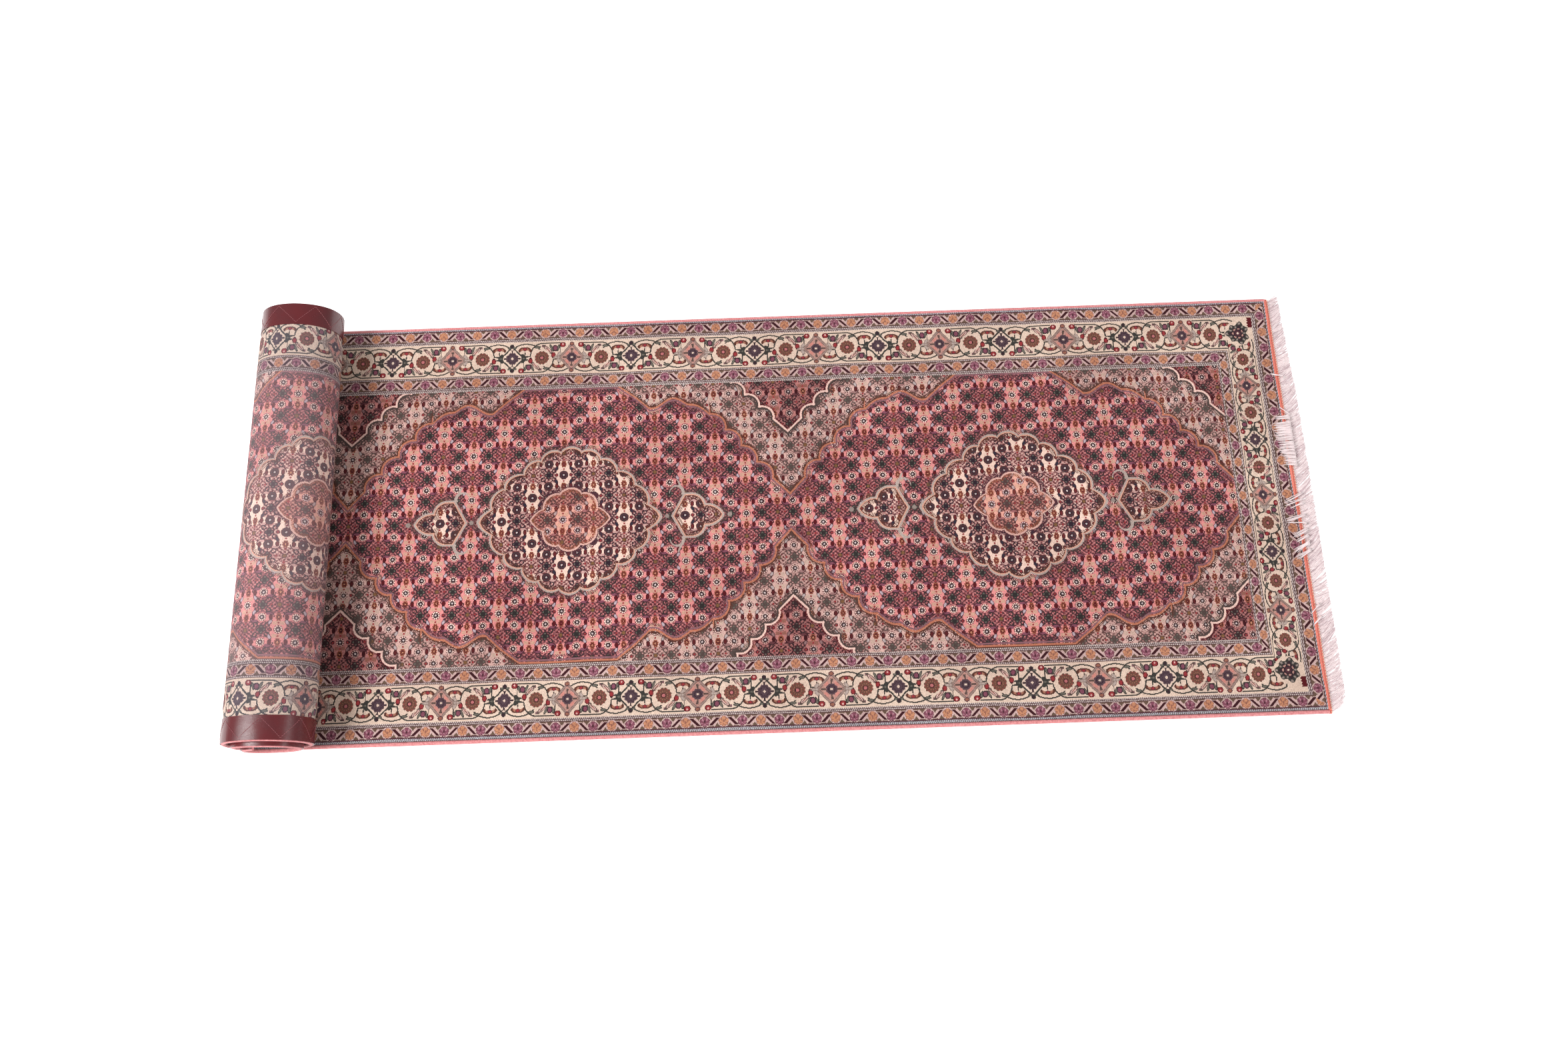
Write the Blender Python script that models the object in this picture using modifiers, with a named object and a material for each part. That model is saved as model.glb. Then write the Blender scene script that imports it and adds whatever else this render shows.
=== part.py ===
# A runner rug of the Tabriz kind, rolled up at one end with its pile inside.
# It lies along X: the roll is at -X and the fringed end at +X. The floor is at Z = 0.
# Each long piece is a flat sheet or cord first. It is then laid on the path that the rug takes,
# which runs along the floor from the fringed end and closes in round the roll.

import math
from collections import namedtuple

import bmesh
import bpy
from mathutils import Vector

# Whole object, in metres
OVERALL_LENGTH = 1.950
RUG_WIDTH = 0.800
PILE_LENGTH = 2.720
SEAM_GAP = 0.0003

# Rug cloth and the cord bound on each long edge
CLOTH_THICKNESS = 0.009
CORD_WIDTH = 0.0072
CORD_SIDES_RESOLUTION = 1

# Leather strip sewn on the back along each long edge
LEATHER_INNER_EDGE = 0.3566
LEATHER_OUTER_EDGE = 0.3980
LEATHER_THICKNESS = 0.0013
LEATHER_FLOOR_GAP = 0.0003

# Underside of the cloth: level in the middle, lifted over the leather strips
MIDDLE_HALF_WIDTH = 0.340
SLOPE_WIDTH = 0.012
EDGE_LIFT = LEATHER_FLOOR_GAP + LEATHER_THICKNESS + SEAM_GAP

# End band and fringe
BAND_WIDTH = 0.0058
BAND_HEIGHT = 0.0045
BAND_ROUNDING = 0.0012
BACKING_WIDTH = 0.0015
BACKING_HEIGHT = 0.0026
FRINGE_REACH = 0.0280
FRINGE_HALF_WIDTH = 0.3965

# Roll: an oval spiral, a little wider at its near end, with its inner turns slid to the near side.
# The half sizes are those before the spiral starts to close in.
ROLL_HALF_WIDTH = 0.0834
ROLL_HALF_HEIGHT = 0.0695
ROLL_PITCH = 0.0160
ROLL_SQUARENESS = 0.03
ROLL_TAPER = 0.020
OUTER_TURN_SLIDE = 0.004
INNER_TURN_SLIDE = -0.012
SLIDING_TURNS = 2.0

# Steps along the path
FLAT_STEPS = 16
ROLL_STEPS_PER_TURN = 30
WALK_STEPS_PER_TURN = 720

# Locks of the fringe
LOCK_COUNT = 120
LOCK_SHARE = 0.60
LOCK_TIP_SHARE = 0.75
LOCK_THICKNESS = 0.0022
LOCK_TIP_THICKNESS = 0.0016
LOCK_STEPS = 3
LEAN_MEAN = math.radians(34)
LEAN_SWING = math.radians(7)
LEAN_WAVES = 3.3
LEAN_AT_ROOT = 0.5
SHORTEST_LOCK_SHARE = 0.80
LENGTH_BEATS = (2.4, 0.7)
LOCKS_PER_TURNED_LOCK = 2

# Tufts that are turned back over the pile: middle, half width and reach over the rug
Tuft = namedtuple("Tuft", "middle half_width reach")
TURNED_BACK = (
    Tuft(middle=0.103, half_width=0.044, reach=0.016),
    Tuft(middle=-0.014, half_width=0.016, reach=0.013),
    Tuft(middle=-0.084, half_width=0.040, reach=0.016),
    Tuft(middle=-0.222, half_width=0.018, reach=0.004),
)
TURN_BULGE = 0.0060
TUFT_CLEARANCE = 0.0012

# Places along X
CLOSED_IN_AT_SIDE = ROLL_PITCH * (math.pi / 2 - 1) / math.tau
WIDEST_ROLL = (ROLL_HALF_WIDTH - CLOSED_IN_AT_SIDE) * (1 + ROLL_TAPER)
ROLL_X = WIDEST_ROLL - OVERALL_LENGTH / 2
FRINGE_TIP_X = OVERALL_LENGTH / 2
BACKING_OUTER_X = FRINGE_TIP_X - FRINGE_REACH
BACKING_INNER_X = BACKING_OUTER_X - BACKING_WIDTH
BAND_OUTER_X = BACKING_INNER_X - SEAM_GAP
BAND_INNER_X = BAND_OUTER_X - BAND_WIDTH
PILE_END_X = BAND_INNER_X - SEAM_GAP
FLAT_LENGTH = PILE_END_X - ROLL_X

Finish = namedtuple("Finish", "colour roughness metallic")
WOOL_PILE = Finish((0.42, 0.13, 0.12), 0.95, 0.0)
PINK_WOOL = Finish((0.72, 0.24, 0.22), 0.90, 0.0)
RED_LEATHER = Finish((0.17, 0.013, 0.017), 0.28, 0.0)
CORAL_WOOL = Finish((0.72, 0.20, 0.12), 0.90, 0.0)
WHITE_COTTON = Finish((0.78, 0.70, 0.73), 0.85, 0.0)

# A place on the path: where the back of the rug lies, which way its pile faces, how far the
# cloth has slid along Y, and how much of the roll's taper it takes
Station = namedtuple("Station", "x z pile_x pile_z slide taper")


def clear_scene():
    for item in list(bpy.data.objects):
        bpy.data.objects.remove(item, do_unlink=True)


def new_collection(name):
    collection = bpy.data.collections.new(name)
    bpy.context.scene.collection.children.link(collection)
    return collection


def new_material(name, finish):
    material = bpy.data.materials.new(name)
    material.use_nodes = True
    shader = material.node_tree.nodes["Principled BSDF"]
    shader.inputs["Base Color"].default_value = (*finish.colour, 1.0)
    shader.inputs["Roughness"].default_value = finish.roughness
    shader.inputs["Metallic"].default_value = finish.metallic
    material.diffuse_color = (*finish.colour, 1.0)
    return material


def smooth_step(value):
    clamped = min(max(value, 0.0), 1.0)
    return clamped * clamped * (3 - 2 * clamped)


def spiral_point(angle):
    """The back of the rug at a turning angle, measured from where it lifts off the floor."""
    closed_in = ROLL_PITCH * (angle - math.sin(angle)) / math.tau
    bulge = 1 + ROLL_SQUARENESS * (1 - math.cos(4 * angle)) / 2
    x = ROLL_X - (ROLL_HALF_WIDTH - closed_in) * bulge * math.sin(angle)
    z = ROLL_HALF_HEIGHT - (ROLL_HALF_HEIGHT - closed_in) * bulge * math.cos(angle)
    return x, z


def roll_end_angle():
    """Walk round the spiral until the rug's length is used up."""
    left = PILE_LENGTH - FLAT_LENGTH
    step = math.tau / WALK_STEPS_PER_TURN
    angle = 0.0
    while left > 0:
        left -= math.dist(spiral_point(angle), spiral_point(angle + step))
        angle += step
    return angle


def turn_slide(angle):
    """The outer turn sits a little to the far side, and the inner turns slide to the near side."""
    outer = OUTER_TURN_SLIDE * smooth_step(angle / math.pi)
    inner_share = min(max((angle - math.pi) / (math.tau * SLIDING_TURNS), 0.0), 1.0)
    return outer + INNER_TURN_SLIDE * math.sin(inner_share * math.pi / 2)


def roll_station(angle):
    nudge = math.tau / WALK_STEPS_PER_TURN
    before = Vector(spiral_point(angle - nudge))
    after = Vector(spiral_point(angle + nudge))
    along = (after - before).normalized()
    x, z = spiral_point(angle)
    taper = smooth_step(angle / (math.pi / 2))
    return Station(x, z, along.y, -along.x, turn_slide(angle), taper)


def rug_path():
    """Stations from the fringed end, along the floor and round the roll."""
    stations = []
    for step in range(FLAT_STEPS):
        x = PILE_END_X - FLAT_LENGTH * step / FLAT_STEPS
        stations.append(Station(x, 0.0, 0.0, 1.0, 0.0, 0.0))
    stations.append(Station(ROLL_X, 0.0, 0.0, 1.0, 0.0, 0.0))
    end_angle = roll_end_angle()
    steps = math.ceil(end_angle / math.tau * ROLL_STEPS_PER_TURN)
    for step in range(1, steps + 1):
        stations.append(roll_station(end_angle * step / steps))
    return stations


def lay(station, across, height):
    """The place of a point of the flat rug, across its width and so high above its back."""
    scale = 1 - ROLL_TAPER * station.taper * across / (RUG_WIDTH / 2)
    x = station.x + station.pile_x * height
    z = station.z + station.pile_z * height
    return Vector((ROLL_X + (x - ROLL_X) * scale, across + station.slide, z * scale))


def add_object(name, data, collection, material):
    thing = bpy.data.objects.new(name, data)
    data.materials.append(material)
    collection.objects.link(thing)
    return thing


def add_sheet(name, columns, path, thickness, collection, material):
    """A grid of cloth laid on the path by its back, and thickened towards the pile."""
    bm = bmesh.new()
    rows = len(path)
    bmesh.ops.create_grid(bm, x_segments=rows - 1, y_segments=len(columns) - 1, size=1.0)
    bm.verts.ensure_lookup_table()
    for index, vertex in enumerate(bm.verts):
        across, height = columns[index // rows]
        vertex.co = lay(path[index % rows], across, height)
    mesh = bpy.data.meshes.new(name)
    bm.to_mesh(mesh)
    bm.free()
    sheet = add_object(name, mesh, collection, material)
    solidify = sheet.modifiers.new("Thickness", "SOLIDIFY")
    solidify.thickness = thickness
    solidify.offset = -1.0
    solidify.use_even_offset = True
    return sheet


def add_rug(path, collection, material):
    edge = RUG_WIDTH / 2 - CORD_WIDTH - SEAM_GAP
    half = (
        (MIDDLE_HALF_WIDTH / 2, 0.0),
        (MIDDLE_HALF_WIDTH, 0.0),
        (MIDDLE_HALF_WIDTH + SLOPE_WIDTH, EDGE_LIFT),
        (edge, EDGE_LIFT),
    )
    near_half = [(-across, height) for across, height in reversed(half)]
    add_sheet("rug", [*near_half, *half], path, CLOTH_THICKNESS, collection, material)


def add_leather(name, side, path, collection, material):
    edges = sorted((side * LEATHER_INNER_EDGE, side * LEATHER_OUTER_EDGE))
    columns = [(across, LEATHER_FLOOR_GAP) for across in edges]
    add_sheet(name, columns, path, LEATHER_THICKNESS, collection, material)


def add_side_cord(name, side, path, collection, material):
    """A round cord that follows the edge of the rug, just above the leather strip."""
    radius = CORD_WIDTH / 2
    across = side * (RUG_WIDTH / 2 - radius)
    curve = bpy.data.curves.new(name, "CURVE")
    curve.dimensions = "3D"
    curve.bevel_depth = radius
    curve.bevel_resolution = CORD_SIDES_RESOLUTION
    curve.use_fill_caps = True
    spline = curve.splines.new("POLY")
    spline.points.add(len(path) - 1)
    for point, station in zip(spline.points, path):
        point.co = (*lay(station, across, EDGE_LIFT + radius), 1.0)
    add_object(name, curve, collection, material)


def add_end_band(collection, material):
    """The woven band across the end of the pile."""
    bm = bmesh.new()
    bmesh.ops.create_cube(bm, size=1.0)
    bmesh.ops.scale(bm, verts=bm.verts, vec=(BAND_WIDTH, RUG_WIDTH, BAND_HEIGHT))
    mesh = bpy.data.meshes.new("heading")
    bm.to_mesh(mesh)
    bm.free()
    band = add_object("heading", mesh, collection, material)
    band.location = ((BAND_INNER_X + BAND_OUTER_X) / 2, 0.0, BAND_HEIGHT / 2)
    bevel = band.modifiers.new("Rounding", "BEVEL")
    bevel.width = BAND_ROUNDING
    bevel.segments = 2


def tuft_at(across):
    """The turned-back tuft that a lock belongs to, if any."""
    return next((tuft for tuft in TURNED_BACK if abs(across - tuft.middle) < tuft.half_width), None)


def lock_length_share(number):
    """The locks are unevenly long, by two beats that don't repeat together."""
    uneven = (1 + math.sin(number * LENGTH_BEATS[0]) * math.cos(number * LENGTH_BEATS[1])) / 2
    return 1 - (1 - SHORTEST_LOCK_SHARE) * uneven


def flat_lock_points(across, length_share):
    """Points of a lock that leans to the far side and lies on the floor."""
    sway = math.sin(math.tau * LEAN_WAVES * across / RUG_WIDTH)
    lean = LEAN_MEAN + LEAN_SWING * sway
    points = []
    for step in range(1, LOCK_STEPS + 1):
        share = step / LOCK_STEPS
        thickness = LOCK_THICKNESS + (LOCK_TIP_THICKNESS - LOCK_THICKNESS) * share
        outwards = FRINGE_REACH * length_share * share
        bent = smooth_step(LEAN_AT_ROOT + (1 - LEAN_AT_ROOT) * share)
        sideways = outwards * math.tan(lean) * bent
        points.append(Vector((BACKING_OUTER_X + outwards, across + sideways, thickness / 2)))
    return points


def turned_lock_points(across, tuft):
    """Points of a lock that rises off the floor and turns back over the end band and the pile."""
    pile_top = EDGE_LIFT + CLOTH_THICKNESS
    over_pile = pile_top + TUFT_CLEARANCE + LOCK_THICKNESS / 2
    turn_x = BACKING_OUTER_X + TURN_BULGE
    return [
        Vector((turn_x, across, over_pile / 3)),
        Vector((turn_x, across, over_pile * 2 / 3)),
        Vector((BACKING_OUTER_X, across, over_pile)),
        Vector((PILE_END_X - tuft.reach, across, over_pile)),
    ]


def draw_out(bm, face, points, side):
    """Draw a lock out of its root face, one ring of four corners at each point."""
    centre = face.calc_center_median()
    root_width = max(v.co.y for v in face.verts) - min(v.co.y for v in face.verts)
    old_side, old_up = Vector((0, 1, 0)), Vector((0, 0, 1))
    for number, point in enumerate(points):
        before = points[number - 1] if number else centre
        after = points[min(number + 1, len(points) - 1)]
        along = (after - before).normalized()
        new_side = side(along)
        new_up = along.cross(new_side)
        share = (number + 1) / len(points)
        half_width = root_width / 2 * (1 + (LOCK_TIP_SHARE - 1) * share)
        half_height = (LOCK_THICKNESS + (LOCK_TIP_THICKNESS - LOCK_THICKNESS) * share) / 2
        face = bmesh.ops.extrude_discrete_faces(bm, faces=[face])["faces"][0]
        for vertex in face.verts:
            offset = vertex.co - centre
            sideways = math.copysign(half_width, offset.dot(old_side))
            upwards = math.copysign(half_height, offset.dot(old_up))
            vertex.co = point + new_side * sideways + new_up * upwards
        centre, old_side, old_up = point, new_side, new_up


def level_side(along):
    """The width of a lock that lies on the floor is level and square to it."""
    return Vector((-along.y, along.x, 0)).normalized()


def straight_side(_along):
    """The width of a lock that turns back lies along the end of the rug."""
    return Vector((0, 1, 0))


def backing_bar(bm):
    """A bar along Y with one outer face for each lock and each space between locks."""
    cells = 2 * LOCK_COUNT
    pitch = 2 * FRINGE_HALF_WIDTH / LOCK_COUNT
    bmesh.ops.create_grid(bm, x_segments=1, y_segments=cells, size=1.0)
    bm.verts.ensure_lookup_table()
    for index, vertex in enumerate(bm.verts):
        row = index // 2
        into_pitch = LOCK_SHARE if row % 2 else 0.0
        y = (row // 2 + into_pitch) * pitch - FRINGE_HALF_WIDTH
        x = BACKING_OUTER_X if index % 2 else BACKING_INNER_X
        vertex.co = (x, y, 0.0)
    raised = bmesh.ops.extrude_face_region(bm, geom=list(bm.faces))["geom"]
    upper = [item for item in raised if isinstance(item, bmesh.types.BMVert)]
    bmesh.ops.translate(bm, verts=upper, vec=(0, 0, BACKING_HEIGHT))
    bmesh.ops.recalc_face_normals(bm, faces=bm.faces)


def lock_roots(bm):
    """The outer faces of the bar that carry locks, from the near side to the far side."""
    middles = {face: face.calc_center_median() for face in bm.faces}
    reach = BACKING_WIDTH / 4
    outer = [face for face in bm.faces if middles[face].x > BACKING_OUTER_X - reach]
    outer.sort(key=lambda face: middles[face].y)
    return outer[::2]


def add_fringe(collection, material):
    bm = bmesh.new()
    backing_bar(bm)
    for number, root in enumerate(lock_roots(bm)):
        across = root.calc_center_median().y
        tuft = tuft_at(across)
        if tuft and number % LOCKS_PER_TURNED_LOCK == 0:
            draw_out(bm, root, turned_lock_points(across, tuft), straight_side)
        else:
            points = flat_lock_points(across, lock_length_share(number))
            draw_out(bm, root, points, level_side)
    mesh = bpy.data.meshes.new("fringe")
    bm.to_mesh(mesh)
    bm.free()
    add_object("fringe", mesh, collection, material)


def finished_points(thing, graph):
    """The corners of a finished piece, modifiers and bevels included."""
    shape = thing.evaluated_get(graph)
    points = [shape.matrix_world @ vertex.co for vertex in shape.to_mesh().vertices]
    shape.to_mesh_clear()
    return points


def centre_on_origin(collection):
    """Stand the finished rug on the origin by the middle of its outline on the floor."""
    bpy.context.view_layer.update()
    graph = bpy.context.evaluated_depsgraph_get()
    points = [point for thing in collection.objects for point in finished_points(thing, graph)]
    middle = [(min(p[i] for p in points) + max(p[i] for p in points)) / 2 for i in range(2)]
    centre = bpy.data.objects.new("rug_centre", None)
    centre.location = (-middle[0], -middle[1], 0.0)
    for thing in list(collection.objects):
        thing.parent = centre
    collection.objects.link(centre)


def build():
    clear_scene()
    collection = new_collection("rolled_tabriz_rug")
    wool = new_material("wool_pile", WOOL_PILE)
    pink = new_material("pink_wool", PINK_WOOL)
    leather = new_material("red_leather", RED_LEATHER)
    coral = new_material("coral_wool", CORAL_WOOL)
    cotton = new_material("white_cotton", WHITE_COTTON)
    path = rug_path()
    add_rug(path, collection, wool)
    for where, side in (("near", -1), ("far", 1)):
        add_leather(f"leather_{where}", side, path, collection, leather)
        add_side_cord(f"selvedge_{where}", side, path, collection, pink)
    add_end_band(collection, coral)
    add_fringe(collection, cotton)
    centre_on_origin(collection)


build()
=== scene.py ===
# Looks of the rolled Tabriz runner: its knotted pile, side cords, leather strips, end band and fringe.
# The rug lies along X with its roll at -X. Its pattern is drawn on the cloth in millimetres: "along"
# is the distance from the fringed end of the pile, and "across" the distance from the middle line.

import math
from collections import namedtuple

import bpy
from mathutils import Matrix, Vector


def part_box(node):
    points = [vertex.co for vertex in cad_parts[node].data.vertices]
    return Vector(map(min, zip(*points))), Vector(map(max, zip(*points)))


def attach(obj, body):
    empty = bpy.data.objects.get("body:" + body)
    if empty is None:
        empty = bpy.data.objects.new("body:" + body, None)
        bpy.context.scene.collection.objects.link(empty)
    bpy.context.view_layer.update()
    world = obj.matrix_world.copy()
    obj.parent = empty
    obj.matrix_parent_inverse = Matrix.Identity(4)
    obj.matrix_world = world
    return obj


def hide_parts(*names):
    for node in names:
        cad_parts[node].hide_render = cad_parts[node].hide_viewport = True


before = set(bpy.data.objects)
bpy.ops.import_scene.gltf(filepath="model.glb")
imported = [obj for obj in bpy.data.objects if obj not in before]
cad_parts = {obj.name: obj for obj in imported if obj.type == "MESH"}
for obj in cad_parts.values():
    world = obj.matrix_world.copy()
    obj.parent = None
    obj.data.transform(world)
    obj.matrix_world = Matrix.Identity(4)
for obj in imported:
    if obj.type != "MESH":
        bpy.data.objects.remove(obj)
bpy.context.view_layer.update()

# Sizes of the CAD part, in metres
OVERALL_LENGTH = 1.950
RUG_WIDTH = 0.800
PILE_LENGTH = 2.720
SEAM_GAP = 0.0003
CLOTH_THICKNESS = 0.009
CORD_WIDTH = 0.0072
LEATHER_INNER_EDGE = 0.3566
LEATHER_OUTER_EDGE = 0.3980
LEATHER_THICKNESS = 0.0013
LEATHER_FLOOR_GAP = 0.0003
MIDDLE_HALF_WIDTH = 0.340
SLOPE_WIDTH = 0.012
EDGE_LIFT = LEATHER_FLOOR_GAP + LEATHER_THICKNESS + SEAM_GAP
BAND_WIDTH = 0.0058
BAND_HEIGHT = 0.0045
BACKING_WIDTH = 0.0015
FRINGE_REACH = 0.0280
FRINGE_HALF_WIDTH = 0.3965
ROLL_HALF_WIDTH = 0.0834
ROLL_HALF_HEIGHT = 0.0695
ROLL_PITCH = 0.0160
ROLL_SQUARENESS = 0.03
ROLL_CORNERS = 4
ROLL_TAPER = 0.020
OUTER_TURN_SLIDE = 0.004
INNER_TURN_SLIDE = -0.012
SLIDING_TURNS = 2.0

# Places along X before the rug is centred on the origin, and that shift, from the end band's own box
CLOSED_IN_AT_SIDE = ROLL_PITCH * (math.pi / 2 - 1) / math.tau
WIDEST_ROLL = (ROLL_HALF_WIDTH - CLOSED_IN_AT_SIDE) * (1 + ROLL_TAPER)
ROLL_X = WIDEST_ROLL - OVERALL_LENGTH / 2
BACKING_OUTER_X = OVERALL_LENGTH / 2 - FRINGE_REACH
BAND_OUTER_X = BACKING_OUTER_X - BACKING_WIDTH - SEAM_GAP
BAND_INNER_X = BAND_OUTER_X - BAND_WIDTH
PILE_END_X = BAND_INNER_X - SEAM_GAP
FLAT_LENGTH = PILE_END_X - ROLL_X
BAND_LOW, BAND_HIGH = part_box("heading")
SHIFT = Vector((
    (BAND_LOW.x + BAND_HIGH.x - BAND_INNER_X - BAND_OUTER_X) / 2,
    (BAND_LOW.y + BAND_HIGH.y) / 2,
    0.0,
))

# Steps along the path, sides of a cord, and the angles past which an edge stays sharp
CORD_SIDES = 12
SHARP_CLOTH_EDGE = math.radians(40)
SHARP_CORD_EDGE = math.radians(60)
FLAT_STEPS = 48
ROLL_STEPS_PER_TURN = 96
WALK_STEPS_PER_TURN = 1440

# Pattern, in millimetres
KNOT = 1.1
PILE_EDGE = 392.8
FIELD_EDGE = 263.8
END_FIELD_EDGE = 108.8
FIELD_MIDDLE = 3.0
FIRST_MEDALLION = 519.0
COMPARTMENT = 826.0
LATTICE_START = 842.9
CELL_LENGTH = 56.56
CELL_WIDTH = 43.2
HALF_CELL_LENGTH = CELL_LENGTH / 2
HALF_CELL_WIDTH = CELL_WIDTH / 2

# Stripes of the border, from the edge of the pile inwards
OUTER_LINE = 5.0
OUTER_GUARD = 15.0
BORDER_MIDDLE = 65.0
BORDER_HALF_WIDTH = 33.0
INNER_GUARD = 112.4
GUARD_HALF_WIDTH = 9.4
GUARD_PITCH = 32.8
GUARD_START = 0.10
END_GUARD_PITCH = 32.6
END_GUARD_START = 0.4
FAN_FOOT = 4.0
ROW_LINES = ((10.0, 0.6), (13.4, 0.4))
GUARD_LEAF_MIDDLE = 11.0
GUARD_LEAF_REACH = 5.6
GUARD_LEAF_SLOPE = 0.8
CORAL_END = 2.8

# Repeats of the main border, from a grey diamond to a pink one, and the middle of a corner flower
DIAMOND_PITCH = 118.0
END_DIAMOND_PITCH = 108.4
END_DIAMOND_STEPS = 3.0
DIAMOND_HALF_LENGTH = 24.5
DIAMOND_HALF_WIDTH = 27.5
CORNER_FROM_END = 61.0
CORNER_FROM_MIDDLE = 325.2

# Where the pattern is stretched: from, to, and what is gained at the start and by the end. The end border
# is narrower than the side ones, the near border slips against the far one towards the roll, and the
# lattice gains a part of a cell beside the end border.
END_STRETCHES = ((33.0, 86.0, 0.0, 13.0), (86.0, END_FIELD_EDGE, 0.0, 7.0))
NEAR_SLIP = (1226.0, 1683.0, 0.0, 10.0)
FIELD_STRETCHES = ((932.0, 1338.0, 0.0, 7.0), (1829.0, 2138.0, 0.0, 26.0))
FIRST_ROW_STRETCH = (END_FIELD_EDGE, 280.0, 0.134, 0.0)

# The same for the side borders, in half repeats
BORDER_PITCHES = (
    (CORNER_FROM_END, 277.7, 0.0, 2.0),
    (277.7, 1226.0, 0.0, 8.0),
    (1226.0, 1770.0, 0.0, 4.755),
    (1770.0, 2038.0, 0.0, 3.245),
    (2038.0, 2713.0, 0.0, 6.0),
)

# Small leaves of the plum cells: waves along and across a cell with specks of noise on them, the heights
# past which they are leaf and bright ground, and how bright that ground is
SPRIGS_ALONG = 0.78
SPRIGS_ACROSS = 0.92
SPECK_SCALE = 0.34
SPECK_HEIGHT = 3.0
SPRIG_LEVEL = 0.42
BRIGHT_LEVEL = -0.46
BRIGHT_SHARE = 0.65

# Bright ground of the rows and of the pink cells
ROW_HALF_WIDTH = 6.2
PINK_HALF_LENGTH = 13.5

# Edges of the spandrels: the height of the first arc's foot, the steps from arc to arc, and their bulge
Scallops = namedtuple("Scallops", "foot step_x step_y bulge")
LIGHT_SCALLOPS = Scallops(34.0, 29.8, 32.6, 11.5)
MAROON_SCALLOPS = Scallops(158.5, 26.4, 25.4, 10.5)

# Past its arcs the light edge climbs in steps, with a small lobe and then a wave on them. A stretch to
# pi is an angle, and the wave's stretch runs along the wave.
SHOULDER = 149.0
SHOULDER_STEPS = ((SHOULDER, 190.0, 201.0, 222.0), (265.0, 290.0, 0.0, 23.0), (290.0, 325.0, 0.0, 27.0))
SHOULDER_SLOPE = 0.85
SMALL_LOBE = (SHOULDER, 190.0, 0.0, math.pi)
SMALL_LOBE_DEPTH = 6.5
WAVE_STRETCH = (190.0, 265.0, -27.0, 48.0)
WAVE_LENGTH = 84.0
WAVE_DEPTH = 9.5

# The medallion: its radius by the angle from the long axis, its lobes, and the point at its tip
TIP_ANGLE = 0.164
MEDALLION_RADII = ((TIP_ANGLE, 0.790, 147.0, 124.5), (0.90, 1.42, 0.0, 7.5))
MEDALLION_LOBES = 10.0
MEDALLION_LOBE_DEPTH = 10.5
LOBE_ROUNDNESS = 0.6
TIP_REACH = 172.0
TIP_SLOPE = (0.68, 0.73)
TIP_CURVE = (0.0, 26.0, 0.0, math.pi)
TIP_CURVE_DEPTH = 4.0

# Its rose heart
HEART_RADIUS = 52.0
HEART_LOBES = 4.0
HEART_LOBE_DEPTH = 8.0
HEART_TIP = (0.0, 24.0, 14.0, 0.0)

# The pendant beside it, and the scrolls and bulbs on the pendant
Round = namedtuple("Round", "x y radius")
PENDANT_START = 192.0
PENDANT_SLOPE = (0.879, 0.477)
PENDANT_SHOULDER = Round(228.0, 16.0, 26.0)
PENDANT_FRONT = Round(256.5, -14.7, 35.2)
SCROLL = Round(200.0, 45.0, 12.6)
SCROLL_THICKNESS = (187.0, 211.0, 0.7, 2.9)
SCROLL_TURN = 207.0
SCROLL_START_HEIGHT = 44.0
SCROLL_END_HEIGHT = 40.0
BULBS = (Round(183.0, 0.0, 4.0), Round(300.0, 0.0, 4.6))

# Buds between the cells, wider in the pink ones, and the dot behind each end palmette
BUD = Round(13.4, 0.0, 1.8)
BUD_RIM = 0.4
PINK_BUD_RIM = 1.2
TAIL = Round(0.0, HALF_CELL_WIDTH - 9.8, 1.8)

# Yarns of the fringe, and the tufts that are turned back over the pile
YARN_SIDES = 5
YARN_POINTS = 8
TURNED_POINTS = 14
TURNING_SHARE = 0.35
SETTLED_SHARE = 0.75
YARN_TAPER = (0.8, 1.0, 1.0, 0.7)
TURNED_TAPER = (0.8, 1.0, 1.0, 0.5)
CURLS = 7.0
TURNED_CURLS = 6.0
TIP_DEPTH = 0.55

# Chances for each yarn, from low to high: its place in the row, reach, lean, bend, and a tuft's tone, which
# stays below where the painted yarn shade starts
PLACE_CHANCE = (0.1, 0.9)
REACH_CHANCE = (0.93, 1.0)
LEAN_CHANCE = (-0.22, 0.22)
BEND_CHANCE = (1.0, 1.5)
TURNED_TONES = (0.0, 0.5)

# Waves of the lean along the fringe, slow and quick, and the uneven tips of the tufts from yarn to yarn
LEAN_WAVE = 0.16
QUICK_WAVES = 2.7
QUICK_WAVE = 0.10
UNEVEN_TIPS = 0.16
UNEVEN_SIDES = 0.0012
TIP_STEP = 2.4
SIDE_STEP = 5.1
TUFT_STEP = 900

# Sizes of the fringe's yarns and of the turned-back ones, and the tufts: roots, tips and reach on the pile
FRINGE_SIZES = {
    "Yarns": 1100,
    "Near End": -FRINGE_HALF_WIDTH,
    "Far End": FRINGE_HALF_WIDTH,
    "Root X": BACKING_OUTER_X - BACKING_WIDTH,
    "Reach": 0.0296,
    "Far Reach": 0.0214,
    "Shorter From": 0.16,
    "Corner": 0.012,
    "Corner Cut": 0.80,
    "Lean": 0.66,
    "Waves": 41.0,
    "Yarn Radius": 0.00075,
    "Depth": 0.0022,
    "Seed": 7,
}
TURNED_SIZES = {
    "Root X": BACKING_OUTER_X,
    "Pile Top": CLOTH_THICKNESS,
    "Bulge": 0.0042,
    "Rise": 0.0016,
    "Yarn Radius": 0.00072,
    "Depth": 0.0014,
    "Seed": 3,
}
Tuft = namedtuple("Tuft", "yarns root_low root_high tip_low tip_high reach")
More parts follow.
